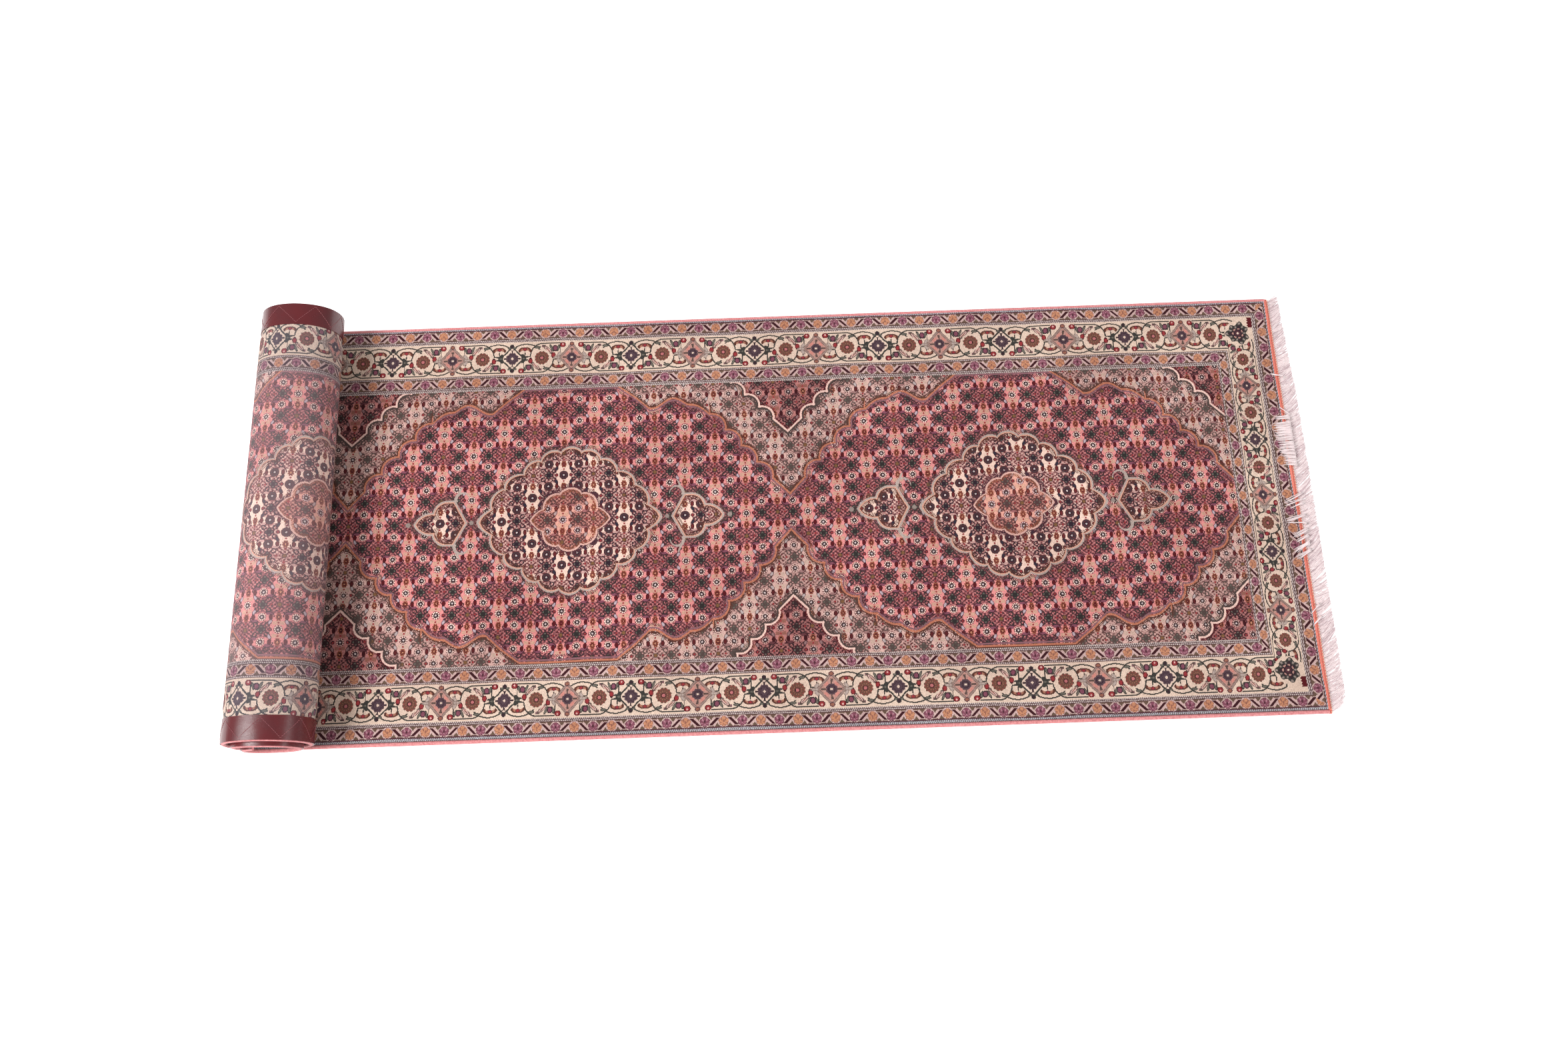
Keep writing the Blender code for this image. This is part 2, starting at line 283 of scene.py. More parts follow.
TURNED_TUFTS = (
    Tuft(3, 0.233, 0.236, 0.241, 0.243, 0.011),
    Tuft(3, 0.154, 0.156, 0.174, 0.176, 0.0057),
    Tuft(7, 0.148, 0.158, 0.151, 0.156, 0.0150),
    Tuft(38, 0.108, 0.146, 0.107, 0.1425, 0.0190),
    Tuft(22, 0.078, 0.107, 0.084, 0.104, 0.0155),
    Tuft(16, 0.056, 0.080, 0.059, 0.084, 0.0115),
    Tuft(4, 0.007, 0.011, -0.013, -0.009, 0.0200),
    Tuft(4, -0.006, -0.002, -0.019, -0.015, 0.0210),
    Tuft(3, -0.013, -0.010, -0.025, -0.022, 0.0130),
    Tuft(5, -0.037, -0.032, -0.049, -0.046, 0.0240),
    Tuft(3, -0.057, -0.053, -0.051, -0.049, 0.0230),
    Tuft(5, -0.064, -0.058, -0.081, -0.075, 0.0150),
    Tuft(4, -0.075, -0.071, -0.089, -0.085, 0.0105),
    Tuft(7, -0.088, -0.080, -0.108, -0.102, 0.0165),
    Tuft(6, -0.103, -0.097, -0.121, -0.116, 0.0150),
    Tuft(3, -0.202, -0.199, -0.222, -0.220, 0.0065),
    Tuft(3, -0.225, -0.222, -0.243, -0.241, 0.0050),
)

# Stitches
STITCH_SEGMENTS = 6
STITCH_RINGS = 4
ZIGZAG_STITCH = {"Pitch": 0.0040, "Stitch Length": 0.0038, "Thread Radius": 0.00042, "Slant": 0.0}
BAND_STITCH = {"Pitch": 0.0050, "Stitch Length": 0.0046, "Thread Radius": 0.00085, "Slant": 1.25}
ZIGZAG_START = 0.5
ZIGZAG_END = 5.9
ZIGZAG_STEP = 0.45
ZIGZAG_POINTS = 6
ZIGZAG_MARGIN = 0.0040
ZIGZAG_PROUD = 0.0003
BAND_STITCH_INSET = 0.0006

# Floor, camera and lights. The camera's angles: down, turned to the left, and tilted.
FLOOR_REACH = 30.0
CAMERA_PLACE = Vector((-0.0031, -0.621, 2.1205))
CAMERA_DOWN = math.radians(74.04)
CAMERA_TURN = math.radians(0.23)
CAMERA_TILT = math.radians(-2.25)
SENSOR_WIDTH = 36.0
LENS_PIXELS = 1790
PHOTO_WIDTH = 2352
Lamp = namedtuple("Lamp", "name place size power")
LAMPS = (
    Lamp("key", Vector((-4.6, -1.2, 5.3)), (2.6, 3.0), 525.0),
    Lamp("side", Vector((4.6, -1.2, 5.2)), (0.8, 1.4), 155.0),
)
WORLD_LIGHT = 0.50

Station = namedtuple("Station", "travelled x z pile_x pile_z slide taper")


def smooth_step(value):
    clamped = min(max(value, 0.0), 1.0)
    return clamped * clamped * (3 - 2 * clamped)


def spiral_point(angle):
    """The back of the rug at a turning angle, measured from where it lifts off the floor."""
    closed_in = ROLL_PITCH * (angle - math.sin(angle)) / math.tau
    bulge = 1 + ROLL_SQUARENESS * (1 - math.cos(ROLL_CORNERS * angle)) / 2
    x = ROLL_X - (ROLL_HALF_WIDTH - closed_in) * bulge * math.sin(angle)
    z = ROLL_HALF_HEIGHT - (ROLL_HALF_HEIGHT - closed_in) * bulge * math.cos(angle)
    return x, z


def turn_slide(angle):
    """The outer turn sits a little to the far side, and the inner turns slide to the near side."""
    outer = OUTER_TURN_SLIDE * smooth_step(angle / math.pi)
    inner_share = min(max((angle - math.pi) / (math.tau * SLIDING_TURNS), 0.0), 1.0)
    return outer + INNER_TURN_SLIDE * math.sin(inner_share * math.pi / 2)


def roll_station(angle, travelled):
    nudge = math.tau / WALK_STEPS_PER_TURN
    before = Vector(spiral_point(angle - nudge))
    after = Vector(spiral_point(angle + nudge))
    along = (after - before).normalized()
    x, z = spiral_point(angle)
    taper = smooth_step(angle / (math.pi / 2))
    return Station(travelled, x, z, along.y, -along.x, turn_slide(angle), taper)


def rug_path():
    """Stations from the fringed end, along the floor and round the roll."""
    flat = [FLAT_LENGTH * step / FLAT_STEPS for step in range(FLAT_STEPS)]
    flat = sorted([*flat, END_FIELD_EDGE / 1000, FLAT_LENGTH])
    stations = [Station(gone, PILE_END_X - gone, 0.0, 0.0, 1.0, 0.0, 0.0) for gone in flat]
    walk_step = math.tau / WALK_STEPS_PER_TURN
    walks_per_station = WALK_STEPS_PER_TURN // ROLL_STEPS_PER_TURN
    travelled = FLAT_LENGTH
    walks = 0
    while travelled < PILE_LENGTH:
        angle = walks * walk_step
        travelled += math.dist(spiral_point(angle), spiral_point(angle + walk_step))
        walks += 1
        if walks % walks_per_station == 0 or travelled >= PILE_LENGTH:
            stations.append(roll_station(angle + walk_step, travelled))
    return stations


def lay(station, across, height):
    """The place of a point of the flat rug, across its width and so high above its back."""
    scale = 1 - ROLL_TAPER * station.taper * across / (RUG_WIDTH / 2)
    x = station.x + station.pile_x * height
    z = station.z + station.pile_z * height
    return Vector((ROLL_X + (x - ROLL_X) * scale, across + station.slide, z * scale)) + SHIFT


# Shader and geometry nodes


class Value:
    """An output of a node. Arithmetic on it adds Math nodes to the same tree."""

    def __init__(self, tree, socket=None):
        self.tree = tree
        self.socket = socket

    def node(self, kind, inputs=None, output=0, **settings):
        """Add a node: its settings first, then its sockets by name or number."""
        made = self.tree.nodes.new(kind)
        for name, setting in settings.items():
            setattr(made, name, setting)
        for key, given in (inputs or {}).items():
            if isinstance(given, Value):
                self.tree.links.new(given.socket, made.inputs[key])
            else:
                made.inputs[key].default_value = given
        return Value(self.tree, made.outputs[output])

    def math(self, operation, *values):
        return self.node("ShaderNodeMath", dict(enumerate(values)), operation=operation)

    def __add__(self, other):
        return self.math("ADD", self, other)

    def __radd__(self, other):
        return self.math("ADD", other, self)

    def __sub__(self, other):
        return self.math("SUBTRACT", self, other)

    def __rsub__(self, other):
        return self.math("SUBTRACT", other, self)

    def __mul__(self, other):
        return self.math("MULTIPLY", self, other)

    def __rmul__(self, other):
        return self.math("MULTIPLY", other, self)

    def __truediv__(self, other):
        return self.math("DIVIDE", self, other)

    def __mod__(self, other):
        return self.math("FLOORED_MODULO", self, other)

    def __abs__(self):
        return self.math("ABSOLUTE", self)

    def __lt__(self, other):
        return self.math("LESS_THAN", self, other)

    def __gt__(self, other):
        return self.math("GREATER_THAN", self, other)

    def __and__(self, other):
        return self.math("MULTIPLY", self, other)

    def __or__(self, other):
        return self.math("MAXIMUM", self, other)

    def fold(self, reach):
        """The distance from the nearest multiple of twice the reach."""
        return self.math("PINGPONG", self, reach)

    def floor(self):
        return self.math("FLOOR", self)

    def cos(self):
        return self.math("COSINE", self)

    def sin(self):
        return self.math("SINE", self)

    def near(self, centre, half_width):
        """1 within the half width of the centre."""
        return self.node("ShaderNodeMath", {0: self, 1: centre, 2: half_width}, operation="COMPARE")

    def ramp(self, start, end, low=0.0, high=1.0):
        """From low at the start to high at the end, and level outside them."""
        values = {0: self, 1: start, 2: end, 3: low, 4: high}
        return self.node("ShaderNodeMapRange", values)

    def noise(self, scale, detail=0.0, output=0):
        """Soft noise at this place, a vector."""
        sockets = {"Vector": self, "Scale": scale, "Detail": detail}
        return self.node("ShaderNodeTexNoise", sockets, output=output)

    def ribs(self, scale, unevenness=0.0, **settings):
        """Ridges side by side at this place, a vector."""
        sockets = {"Vector": self, "Scale": scale, "Distortion": unevenness}
        return self.node("ShaderNodeTexWave", sockets, **settings)

    def parts(self):
        """The first two parts of this vector."""
        made = self.node("ShaderNodeSeparateXYZ", {0: self}).socket.node
        return [Value(self.tree, made.outputs[axis]) for axis in (0, 1)]

    def share_out(self, oval):
        """How far out this place, a vector, lies from the middle of an oval: 1 on its outline."""
        scale = (1 / oval.wide, 1 / oval.high, 0.0)
        offset = (-oval.x / oval.wide, -oval.y / oval.high, 0.0)
        scaled = self.node("ShaderNodeVectorMath", {0: self, 1: scale, 2: offset}, operation="MULTIPLY_ADD")
        return self.node("ShaderNodeVectorMath", {0: scaled}, output=1, operation="LENGTH")

    def choose(self, other, mask):
        """This value, or the other one where the mask is 1."""
        return self.node("ShaderNodeMix", {0: mask, 2: self, 3: other})

    def paint(self, mask, tone, blend="MIX"):
        """This colour, with the tone where the mask is 1."""
        values = {0: mask, 6: self, 7: (*tone, 1.0) if isinstance(tone, tuple) else tone}
        return self.node("ShaderNodeMix", values, output=2, data_type="RGBA", blend_type=blend)

    def tinted(self, tone):
        """This colour multiplied by a tone."""
        return self.paint(1.0, tone, "MULTIPLY")


def hypotenuse(x, y):
    squares = x * x + y * y
    return squares.math("SQRT", squares)


def direction(x, y):
    return x.math("ARCTAN2", y, x)


def tones(start, first, second, mask):
    """One of two tones, as a colour in the tree of the start value."""
    values = {0: mask, 6: (*first, 1.0), 7: (*second, 1.0)}
    return start.node("ShaderNodeMix", values, output=2, data_type="RGBA")


# Wool tones
CREAM = (0.66, 0.500, 0.400)
MEDALLION_CREAM = (0.76, 0.55, 0.455)
PALE_PINK = (0.66, 0.41, 0.37)
ROW_PINK = (0.56, 0.385, 0.360)
ROSE_RED = (0.38, 0.045, 0.050)
DARK_RED = (0.155, 0.012, 0.018)
MAROON = (0.075, 0.014, 0.020)
NEAR_BLACK = (0.030, 0.014, 0.018)
DARK_PLUM = (0.058, 0.030, 0.040)
NAVY = (0.045, 0.042, 0.066)
DARK_GREEN = (0.060, 0.058, 0.050)
GREY_GREEN = (0.17, 0.155, 0.125)
OLIVE = (0.24, 0.115, 0.050)
OLIVE_BROWN = (0.17, 0.105, 0.072)
BROWN = (0.14, 0.050, 0.034)
BROWN_GREY = (0.135, 0.085, 0.072)
BROWN_TAN = (0.34, 0.14, 0.095)
ORANGE = (0.56, 0.25, 0.14)
HORN_ORANGE = (0.34, 0.105, 0.055)
MAUVE = (0.27, 0.085, 0.125)
MAUVE_BAND = (0.29, 0.130, 0.150)
MAUVE_DARK = (0.12, 0.040, 0.055)
FRAME_GREY = (0.30, 0.215, 0.180)
STONE = (0.32, 0.255, 0.225)
STONE_LINE = (0.44, 0.35, 0.31)
CREAM_LINE = (0.74, 0.50, 0.43)
GUARD_GREY = (0.57, 0.48, 0.45)
GUARD_BROWN = (0.17, 0.115, 0.105)
EDGE_GREY = (0.44, 0.44, 0.48)
PLUM_LINE = (0.46, 0.22, 0.27)
CORAL = (0.84, 0.24, 0.18)
ROSETTE_BROWN = (0.19, 0.085, 0.058)
ROSETTE_RED = (0.34, 0.080, 0.065)
FLOWER_PLUM = (0.115, 0.068, 0.085)
HORN = (0.42, 0.175, 0.115)
DIAMOND_TAN = (0.34, 0.225, 0.195)
DIAMOND_ROSE = (0.50, 0.27, 0.225)
PETAL_ROSE = (0.60, 0.24, 0.20)
ORANGE_LINE = (0.52, 0.185, 0.110)
ORANGE_PINK = (0.66, 0.34, 0.25)
SHADE_GREEN = (0.100, 0.068, 0.060)
HEART_PINK = (0.66, 0.39, 0.33)
ROSETTE_HEART = (0.52, 0.17, 0.17)
PALE_GREY = (0.58, 0.48, 0.46)

# Pale wool is made paler and dark wool darker, by this power of its lightness and this gain
DYE_CONTRAST = 0.22
DYE_GAIN = 1.425

# Single knots are darker by up to this share, and rows of knots sway by slow noise, in metres
KNOT_SHADE = 0.30
SWAY_SCALE = 9.0
SWAY = 0.004

# Wear over all the wool, where it is fresh and where it is old
FRESH_WEAR = (0.92, 0.92, 0.92)
OLD_WEAR = (0.76, 0.73, 0.73)
WEAR_SCALE = 6.0
WEAR_SPREAD = (0.35, 0.70)

# The back shows the same knots under a haze, partly the real warps over them and partly a painted cool
# sheen of the white light: a little paler in the field and a little greyer in the border
HazeAndSheen = namedtuple("HazeAndSheen", "tone share")
# Tone and share of the haze: the warps over the knots, with a painted sheen of white light mixed in
FIELD_HAZE_AND_SHEEN = HazeAndSheen((0.72, 0.55, 0.58), 0.13)
BORDER_HAZE_AND_SHEEN = HazeAndSheen((0.28, 0.26, 0.30), 0.18)

# Each finish on the shader's own sockets
PILE_FINISH = {"Roughness": 0.95, "Specular IOR Level": 0.15}
BACK_FINISH = {"Roughness": 0.85, "Specular IOR Level": 0.1}
CORD_FINISH = {"Roughness": 0.9, "Sheen Weight": 0.2}
LEATHER_FINISH = {"Specular IOR Level": 0.65}
COTTON_FINISH = {"Roughness": 0.85, "Sheen Weight": 0.2}
THREAD_FINISH = {"Roughness": 0.7}
BAND_FINISH = {"Roughness": 0.9}
FLOOR_FINISH = {
    "Base Color": (0.95, 0.95, 0.95, 1.0),
    "Roughness": 0.9,
    "Specular IOR Level": 0.1,
    "Emission Color": (1.0, 1.0, 1.0, 1.0),
    "Emission Strength": 0.5,
}

# Uneven dyes: a tone, and the darker one that noise of a scale and detail mixes in over a spread
Dye = namedtuple("Dye", "tone dark scale detail spread")
CORD_DYE = Dye((0.72, 0.28, 0.28), (0.50, 0.14, 0.15), 260.0, 3.0, (0.35, 0.75))
LEATHER_DYE = Dye((0.098, 0.004, 0.007), (0.072, 0.003, 0.006), 30.0, 4.0, (0.3, 0.75))
COTTON_DYE = Dye((0.78, 0.66, 0.66), (0.66, 0.53, 0.54), 90.0, 3.0, (0.45, 0.85))
BAND_DYE = Dye((0.86, 0.24, 0.18), (0.64, 0.15, 0.11), 400.0, 2.0, (0.4, 0.8))
ZIGZAG_DYE = Dye((0.34, 0.10, 0.11), (0.20, 0.05, 0.06), 800.0, 2.0, (0.4, 0.8))
BINDING_DYE = Dye((0.80, 0.60, 0.46), (0.60, 0.38, 0.28), 800.0, 2.0, (0.4, 0.8))

# Some yarns are darker, partly by their own tone and partly as painted shade between the fringe's streaks:
# that tone, and its share by the yarn's own number. Roughness of cloudy leather.
DARK_AND_SHADED_YARN = (0.42, 0.29, 0.32)
DARK_AND_SHADED_YARN_SPREAD = (0.50, 1.0, 0.0, 0.8)
LEATHER_GLOSS = (0.3, 0.8, 0.23, 0.33)

# Fine relief: the scale of its texture, its strength, and its depth in metres
Relief = namedtuple("Relief", "scale strength depth")
PILE_TUFTS = Relief(900.0, 0.6, 0.0012)
BACK_RIBS = Relief(370.0, 0.4, 0.0005)
CORD_WRAPS = Relief(160.0, 0.6, 0.0008)
LEATHER_GRAIN = Relief(900.0, 0.25, 0.0015)
YARN_PLIES = Relief(1500.0, 0.4, 0.0003)
THREAD_FIBRES = Relief(800.0, 0.3, 0.0002)
BAND_RIBS = Relief(180.0, 0.5, 0.0006)

# The cord's wraps are uneven, and the leather has grain on softer creases
WRAP_UNEVENNESS = 1.5
GRAIN_SHARE = 0.15
CREASE_SCALE = 22.0

# Field tones in each ground: open field, light spandrel, maroon spandrel, medallion, its rose heart
FieldTones = namedtuple("FieldTones", "open light maroon medallion heart")
FIELD_TONES = {
    "bright": FieldTones((0.72, 0.260, 0.250), (0.62, 0.39, 0.345), (0.50, 0.200, 0.185),
                         MEDALLION_CREAM, (0.74, 0.36, 0.29)),
    "dull": FieldTones((0.31, 0.102, 0.108), (0.46, 0.260, 0.232), (0.32, 0.125, 0.120),
                       (0.46, 0.220, 0.205), (0.38, 0.145, 0.130)),
    "curl": FieldTones(MAUVE, (0.36, 0.190, 0.180), (0.17, 0.055, 0.062),
                       (0.56, 0.330, 0.300), (0.40, 0.150, 0.150)),
    "tan": FieldTones((0.58, 0.32, 0.24), (0.55, 0.38, 0.31), (0.33, 0.13, 0.10),
                      MEDALLION_CREAM, (0.66, 0.36, 0.26)),
    "petals": FieldTones((0.80, 0.58, 0.50), (0.72, 0.52, 0.46), (0.58, 0.36, 0.32),
                         (0.085, 0.052, 0.060), (0.62, 0.46, 0.46)),
    "palmette": FieldTones(DARK_RED, (0.15, 0.022, 0.024), (0.080, 0.010, 0.014),
                           (0.20, 0.030, 0.032), (0.24, 0.045, 0.036)),
    "leaf": FieldTones((0.46, 0.36, 0.40), (0.46, 0.38, 0.37), (0.30, 0.17, 0.17),
                       NAVY, (0.46, 0.32, 0.31)),
    "green": FieldTones((0.042, 0.038, 0.036), (0.115, 0.080, 0.070), (0.060, 0.030, 0.032),
                        (0.045, 0.026, 0.040), (0.12, 0.060, 0.058)),
    "shade": FieldTones((0.105, 0.030, 0.042), (0.155, 0.070, 0.066), (0.075, 0.018, 0.025),
                        (0.14, 0.040, 0.048), (0.15, 0.048, 0.044)),
}

# Slanted bars between the flowers of a guard: half the thickness, reach to both sides, wool
SLANTED_BARS = ((4.6, 7.6, ROW_PINK), (3.0, 6.6, MAROON))

# Hatching: its slope along and across the rug, half its spacing, and where in that a stroke starts
Hatching = namedtuple("Hatching", "along across half_spacing stroke")
GUARD_DASHES = Hatching(0.9, 0.5, 1.6, 0.86)
SHADING = Hatching(0.9, 1.3, 1.9, 0.95)

# Lines along the edges of the grounds: how far inside the edge, below 0 outside it, half the thickness,
# hatched or plain, and the wool. The shading round the medallion stops beside the light spandrels.
Line = namedtuple("Line", "inside thin hatched wool")
LIGHT_LINES = (
    Line(5.6, 1.8, True, BROWN),
    Line(3.0, 1.0, False, BROWN),
    Line(-9.0, 2.4, True, MAUVE_DARK),
    Line(-3.6, 1.5, False, MAUVE_BAND),
    Line(0.0, 1.6, False, ORANGE_LINE),
)
MAROON_LINES = (
    Line(-8.0, 3.0, True, SHADE_GREEN),
    Line(-3.6, 1.6, False, SHADE_GREEN),
    Line(3.4, 2.0, True, DARK_RED),
    Line(0.0, 1.7, False, CREAM_LINE),
)
CREAM_SHADING = (-5.4, 3.4)
SHADING_STOP = 4.0
CREAM_LINES = (
    Line(7.4, 4.0, True, BROWN),
    Line(4.2, 0.8, False, BROWN),
    Line(2.6, 1.0, False, ORANGE_PINK),
    Line(0.0, 1.6, False, STONE_LINE),
)
HEART_LINES = (
    Line(-5.6, 4.4, True, MAUVE_DARK),
    Line(-2.4, 1.0, False, MAUVE_DARK),
    Line(4.4, 2.6, True, HORN_ORANGE),
    Line(0.0, 1.8, False, HEART_PINK),
)

# Ovals of the pattern: middle, half sizes, sideways lean for each millimetre up, edge wool and core wool
Oval = namedtuple("Oval", "x y wide high lean edge core")
CORE_SHARE = 0.68
PLANT = (
    Oval(33.4, 16.4, 13.2, 6.6, 0.0, BROWN, HORN),
    Oval(33.4, 11.8, 9.8, 5.0, 0.0, CREAM, CREAM),
    Oval(33.4, 18.6, 4.2, 3.4, 0.0, MAUVE_DARK, ROSE_RED),
    Oval(33.4, 9.6, 1.2, 4.6, 0.0, DARK_GREEN, DARK_GREEN),
    Oval(8.5, 22.0, 6.4, 2.6, 0.0, DARK_GREEN, GREY_GREEN),
    Oval(3.0, -23.5, 5.2, 2.6, 0.0, DARK_GREEN, MAUVE_BAND),
    Oval(12.0, -16.2, 5.4, 9.0, 0.87, BROWN_GREY, PALE_PINK),
    Oval(12.4, -15.6, 1.5, 6.0, 0.87, GREY_GREEN, BROWN_TAN),
    Oval(19.2, -19.6, 2.9, 7.6, 0.45, DARK_GREEN, GREY_GREEN),
    Oval(32.0, -19.4, 2.9, 7.0, -0.30, DARK_GREEN, GREY_GREEN),
    Oval(26.0, -18.8, 5.2, 6.4, 0.0, DARK_PLUM, MAUVE),
    Oval(22.4, -5.2, 4.4, 5.6, 0.0, DARK_RED, ROSE_RED),
    Oval(22.4, -0.2, 2.6, 1.6, 0.0, MAROON, MAROON),
    Oval(41.0, -25.2, 6.0, 5.4, 0.0, DARK_RED, ROSE_RED),
    Oval(41.0, -26.4, 1.7, 1.3, 0.0, PALE_PINK, PALE_PINK),
)
GREY_DIAMOND = (
    Oval(24.0, 0.0, 4.6, 3.0, 0.0, DARK_GREEN, GREY_GREEN),
    Oval(22.4, 5.4, 3.4, 4.4, -0.5, DARK_GREEN, DARK_GREEN),
    Oval(27.0, 3.0, 5.4, 2.0, 0.0, DARK_GREEN, DARK_GREEN),
    Oval(0.0, 25.2, 4.2, 3.8, 0.0, DARK_GREEN, DARK_PLUM),
    Oval(5.4, 21.6, 3.8, 2.6, 0.0, DARK_GREEN, GREY_GREEN),
    Oval(0.0, 18.6, 3.6, 3.2, 0.0, DARK_PLUM, CREAM),
)
DIAMOND_FRAMES = ((1.10, BROWN_GREY), (1.06, DIAMOND_TAN), (0.88, BROWN_GREY), (0.85, DIAMOND_ROSE))
PINK_DIAMOND = (
    Oval(29.0, 0.0, 8.0, 2.8, 0.0, FRAME_GREY, STONE_LINE),
    Oval(25.6, 6.4, 3.8, 5.4, -0.5, FRAME_GREY, STONE_LINE),
    Oval(0.0, 27.0, 5.0, 4.0, 0.0, MAUVE_DARK, BROWN_TAN),
    Oval(0.0, 16.4, 3.0, 2.2, 0.0, BROWN_GREY, PALE_PINK),
)

# Leaves and palmettes of the field, the scroll's leaf, straight bars of the vine, and the cream and red
# at a corner flower: middle and half sizes
Spot = namedtuple("Spot", "x y wide high")
CURLED_LEAF = Spot(16.5, 20.6, 9.6, 9.6)
CURL_INSIDE = 0.86
CURL_RIM = (0.90, 0.10)
CURL_FOOT = 18.0
HOOK = Spot(18.2, 8.6, 4.6, 4.6)
HOOK_RIM = (0.8, 0.2)
LIGHT_LEAF = Spot(14.0, 12.6, 3.5, 5.2)
LIGHT_LEAF_INSIDE = 0.70
LIGHT_LEAF_LEAN = -0.35
TAN_SPOT = Spot(0.0, 11.0, 9.5, 3.6)
SIDE_SPOT = Spot(13.0, HALF_CELL_WIDTH, 3.6, 5.3)
END_SPOT = Spot(0.0, HALF_CELL_WIDTH, 5.2, 6.8)
SCROLL_LEAF = Spot(205.5, 62.0, 2.0, 7.5)
SCROLL_LEAF_LEAN = -0.45
VINE_BARS = (
    Spot(33.0, 4.2, 11.0, 1.2),
    Spot(17.0, -29.4, 19.0, 1.1),
    Spot(35.7, -17.0, 1.0, 9.0),
)
CORNER_GROUND = Spot(-12.0, 13.0, 18.0, 26.5)
CORNER_GROUND_RADIUS = 25.0
CORNER_PATCH = Spot(-24.5, 21.0, 6.0, 9.5)
PATCH_TEETH = 2.5

# Layers of a flower, first to last: the wool inside a radius, or this far to both sides of it. Lobes push
# the outline out. Petals keep the wool to a spread of a wave, from its top at 1 or its foot at -1.
Layer = namedtuple("Layer", "wool radius thin lobes push petals side spread", defaults=(0, 0, 0, 0, 1, 0))
CORNER_LOBES = 3.0
CORNER_LOBE_DEPTH = 2.0
CORNER_LEAVES = (
    Layer(DARK_GREEN, 20.0, lobes=7, push=2.4),
    Layer(STONE, 16.4, 2.2, lobes=7, push=2.4, petals=14, spread=0.8),
    Layer(DARK_PLUM, 12.6, lobes=7, push=2.4),
)
CORNER_FLOWER = (
    Layer(DIAMOND_ROSE, 9.2, 1.4, petals=7, spread=1.2),
    Layer(MAUVE_DARK, 5.4),
    Layer(CREAM, 1.9),
)
ROSETTE = (
    Layer(CREAM, 17.4),
    Layer(ROSETTE_BROWN, 13.6, lobes=12, push=-0.7),
    Layer(ROSETTE_RED, 11.6, 1.2, petals=12, spread=0.857),
    Layer(BROWN_TAN, 7.4, 1.0, petals=12, side=-1, spread=0.857),
    Layer(MAROON, 4.4),
    Layer(ROSETTE_HEART, 3.0),
)
GREY_WREATH = (
    Layer(DARK_GREEN, 19.9, lobes=4, push=1.9),
    Layer(CREAM, 16.8, lobes=4, push=1.9),
)
GREY_FLOWER = (
    Layer(DARK_PLUM, 16.6, petals=4, spread=0.08),
    Layer(FLOWER_PLUM, 12.0, lobes=8, push=-1.0),
    Layer(DARK_PLUM, 8.2, 0.6, lobes=8, push=-1.0),
    Layer(CREAM, 2.3),
)
PINK_FLOWER = (
    Layer(PETAL_ROSE, 12.6, 2.4, petals=4, side=-1, spread=0.8),
    Layer(BROWN_GREY, 18.5, petals=4, spread=0.1),
    Layer(FLOWER_PLUM, 9.8, lobes=8, push=-0.7),
    Layer(DARK_PLUM, 5.8, 0.7),
    Layer(CREAM, 2.2),
)
GUARD_FLOWER = (
    Layer(ROW_PINK, 9.2, lobes=7, push=0.6),
    Layer("rim", 8.6, lobes=7, push=0.6),
    Layer("petals", 7.8, lobes=7, push=0.6),
    Layer("lines", 5.4, 2.2, lobes=7, push=0.6, petals=7, side=-1, spread=0.45),
    Layer("rim", 2.2, lobes=7, push=0.6),
)
GREEN_PALMETTE = (
    Layer("shade", 7.4, lobes=4, push=1.3),
    Layer("green", 6.4, lobes=4, push=1.3),
    Layer(GREY_GREEN, 4.0, 0.9, lobes=4, push=1.3, petals=4, spread=0.846),
)
PLUM_RING = (Layer("palmette", 8.0, 1.2, petals=8, spread=0.8),)
WHITE_ROSETTE = (
    Layer("bright", 8.8),
    Layer("palmette", 7.5),
    Layer("petals", 5.6, 1.2, petals=10, spread=1.4),
)
MEDALLION_ROSETTE = (
    Layer("palmette", 8.7),
    Layer("petals", 5.6, 1.2, petals=10, spread=1.4),
    Layer("petals", 6.6, 1.3),
)
ROSETTE_EYE = (Layer("green", 4.2), Layer("eye", 3.2))
EYE_DOT = 1.7
CELL_CORNER_REACH = 25.0
SIDE_PALMETTE = (Layer(MAROON, 1.0), Layer("palmette", 0.74))
END_PALMETTE = (
    Layer(HORN_ORANGE, 1.0, lobes=8, push=-0.12),
    Layer("palmette", 0.66, lobes=8, push=-0.12),
    Layer(ORANGE, 0.26, lobes=8, push=-0.12),
)

# Arcs of the vine: middle, half sizes, the height where the arc starts, and half its share of thickness
Arc = namedtuple("Arc", "x y wide high start thin")
VINE_ARCS = (
    Arc(-2.4, 4.6, 24.8, 24.8, 4.6, 0.050),
    Arc(31.0, 8.0, 30.0, 20.8, 11.0, 0.055),
)


def gained(value, stretches, start=0.0):
    """The start, and what each stretch adds to it by this value."""
    return sum((value.ramp(*stretch) for stretch in stretches), start)


def border_wool(u, v):
    """The main border and the guard stripes on both its sides."""
    from_side = PILE_EDGE - abs(v)
    from_end = gained(u, END_STRETCHES, u)
    on_end = from_end < from_side
    inwards = from_end.math("MINIMUM", from_end, from_side)
    along = u + u.ramp(*NEAR_SLIP) * (v < 0.0)
    side_steps = gained(along, BORDER_PITCHES)
    end_steps = END_DIAMOND_STEPS - abs(v - FIELD_MIDDLE) / END_DIAMOND_PITCH
    steps = side_steps.choose(end_steps, on_end)
    colour = main_border_wool(steps, inwards)
    across = abs(v - FIELD_MIDDLE)
    colour = corner_wool(u - CORNER_FROM_END, across - CORNER_FROM_MIDDLE, colour)
    return guard_wool(u, v, inwards, on_end, colour)


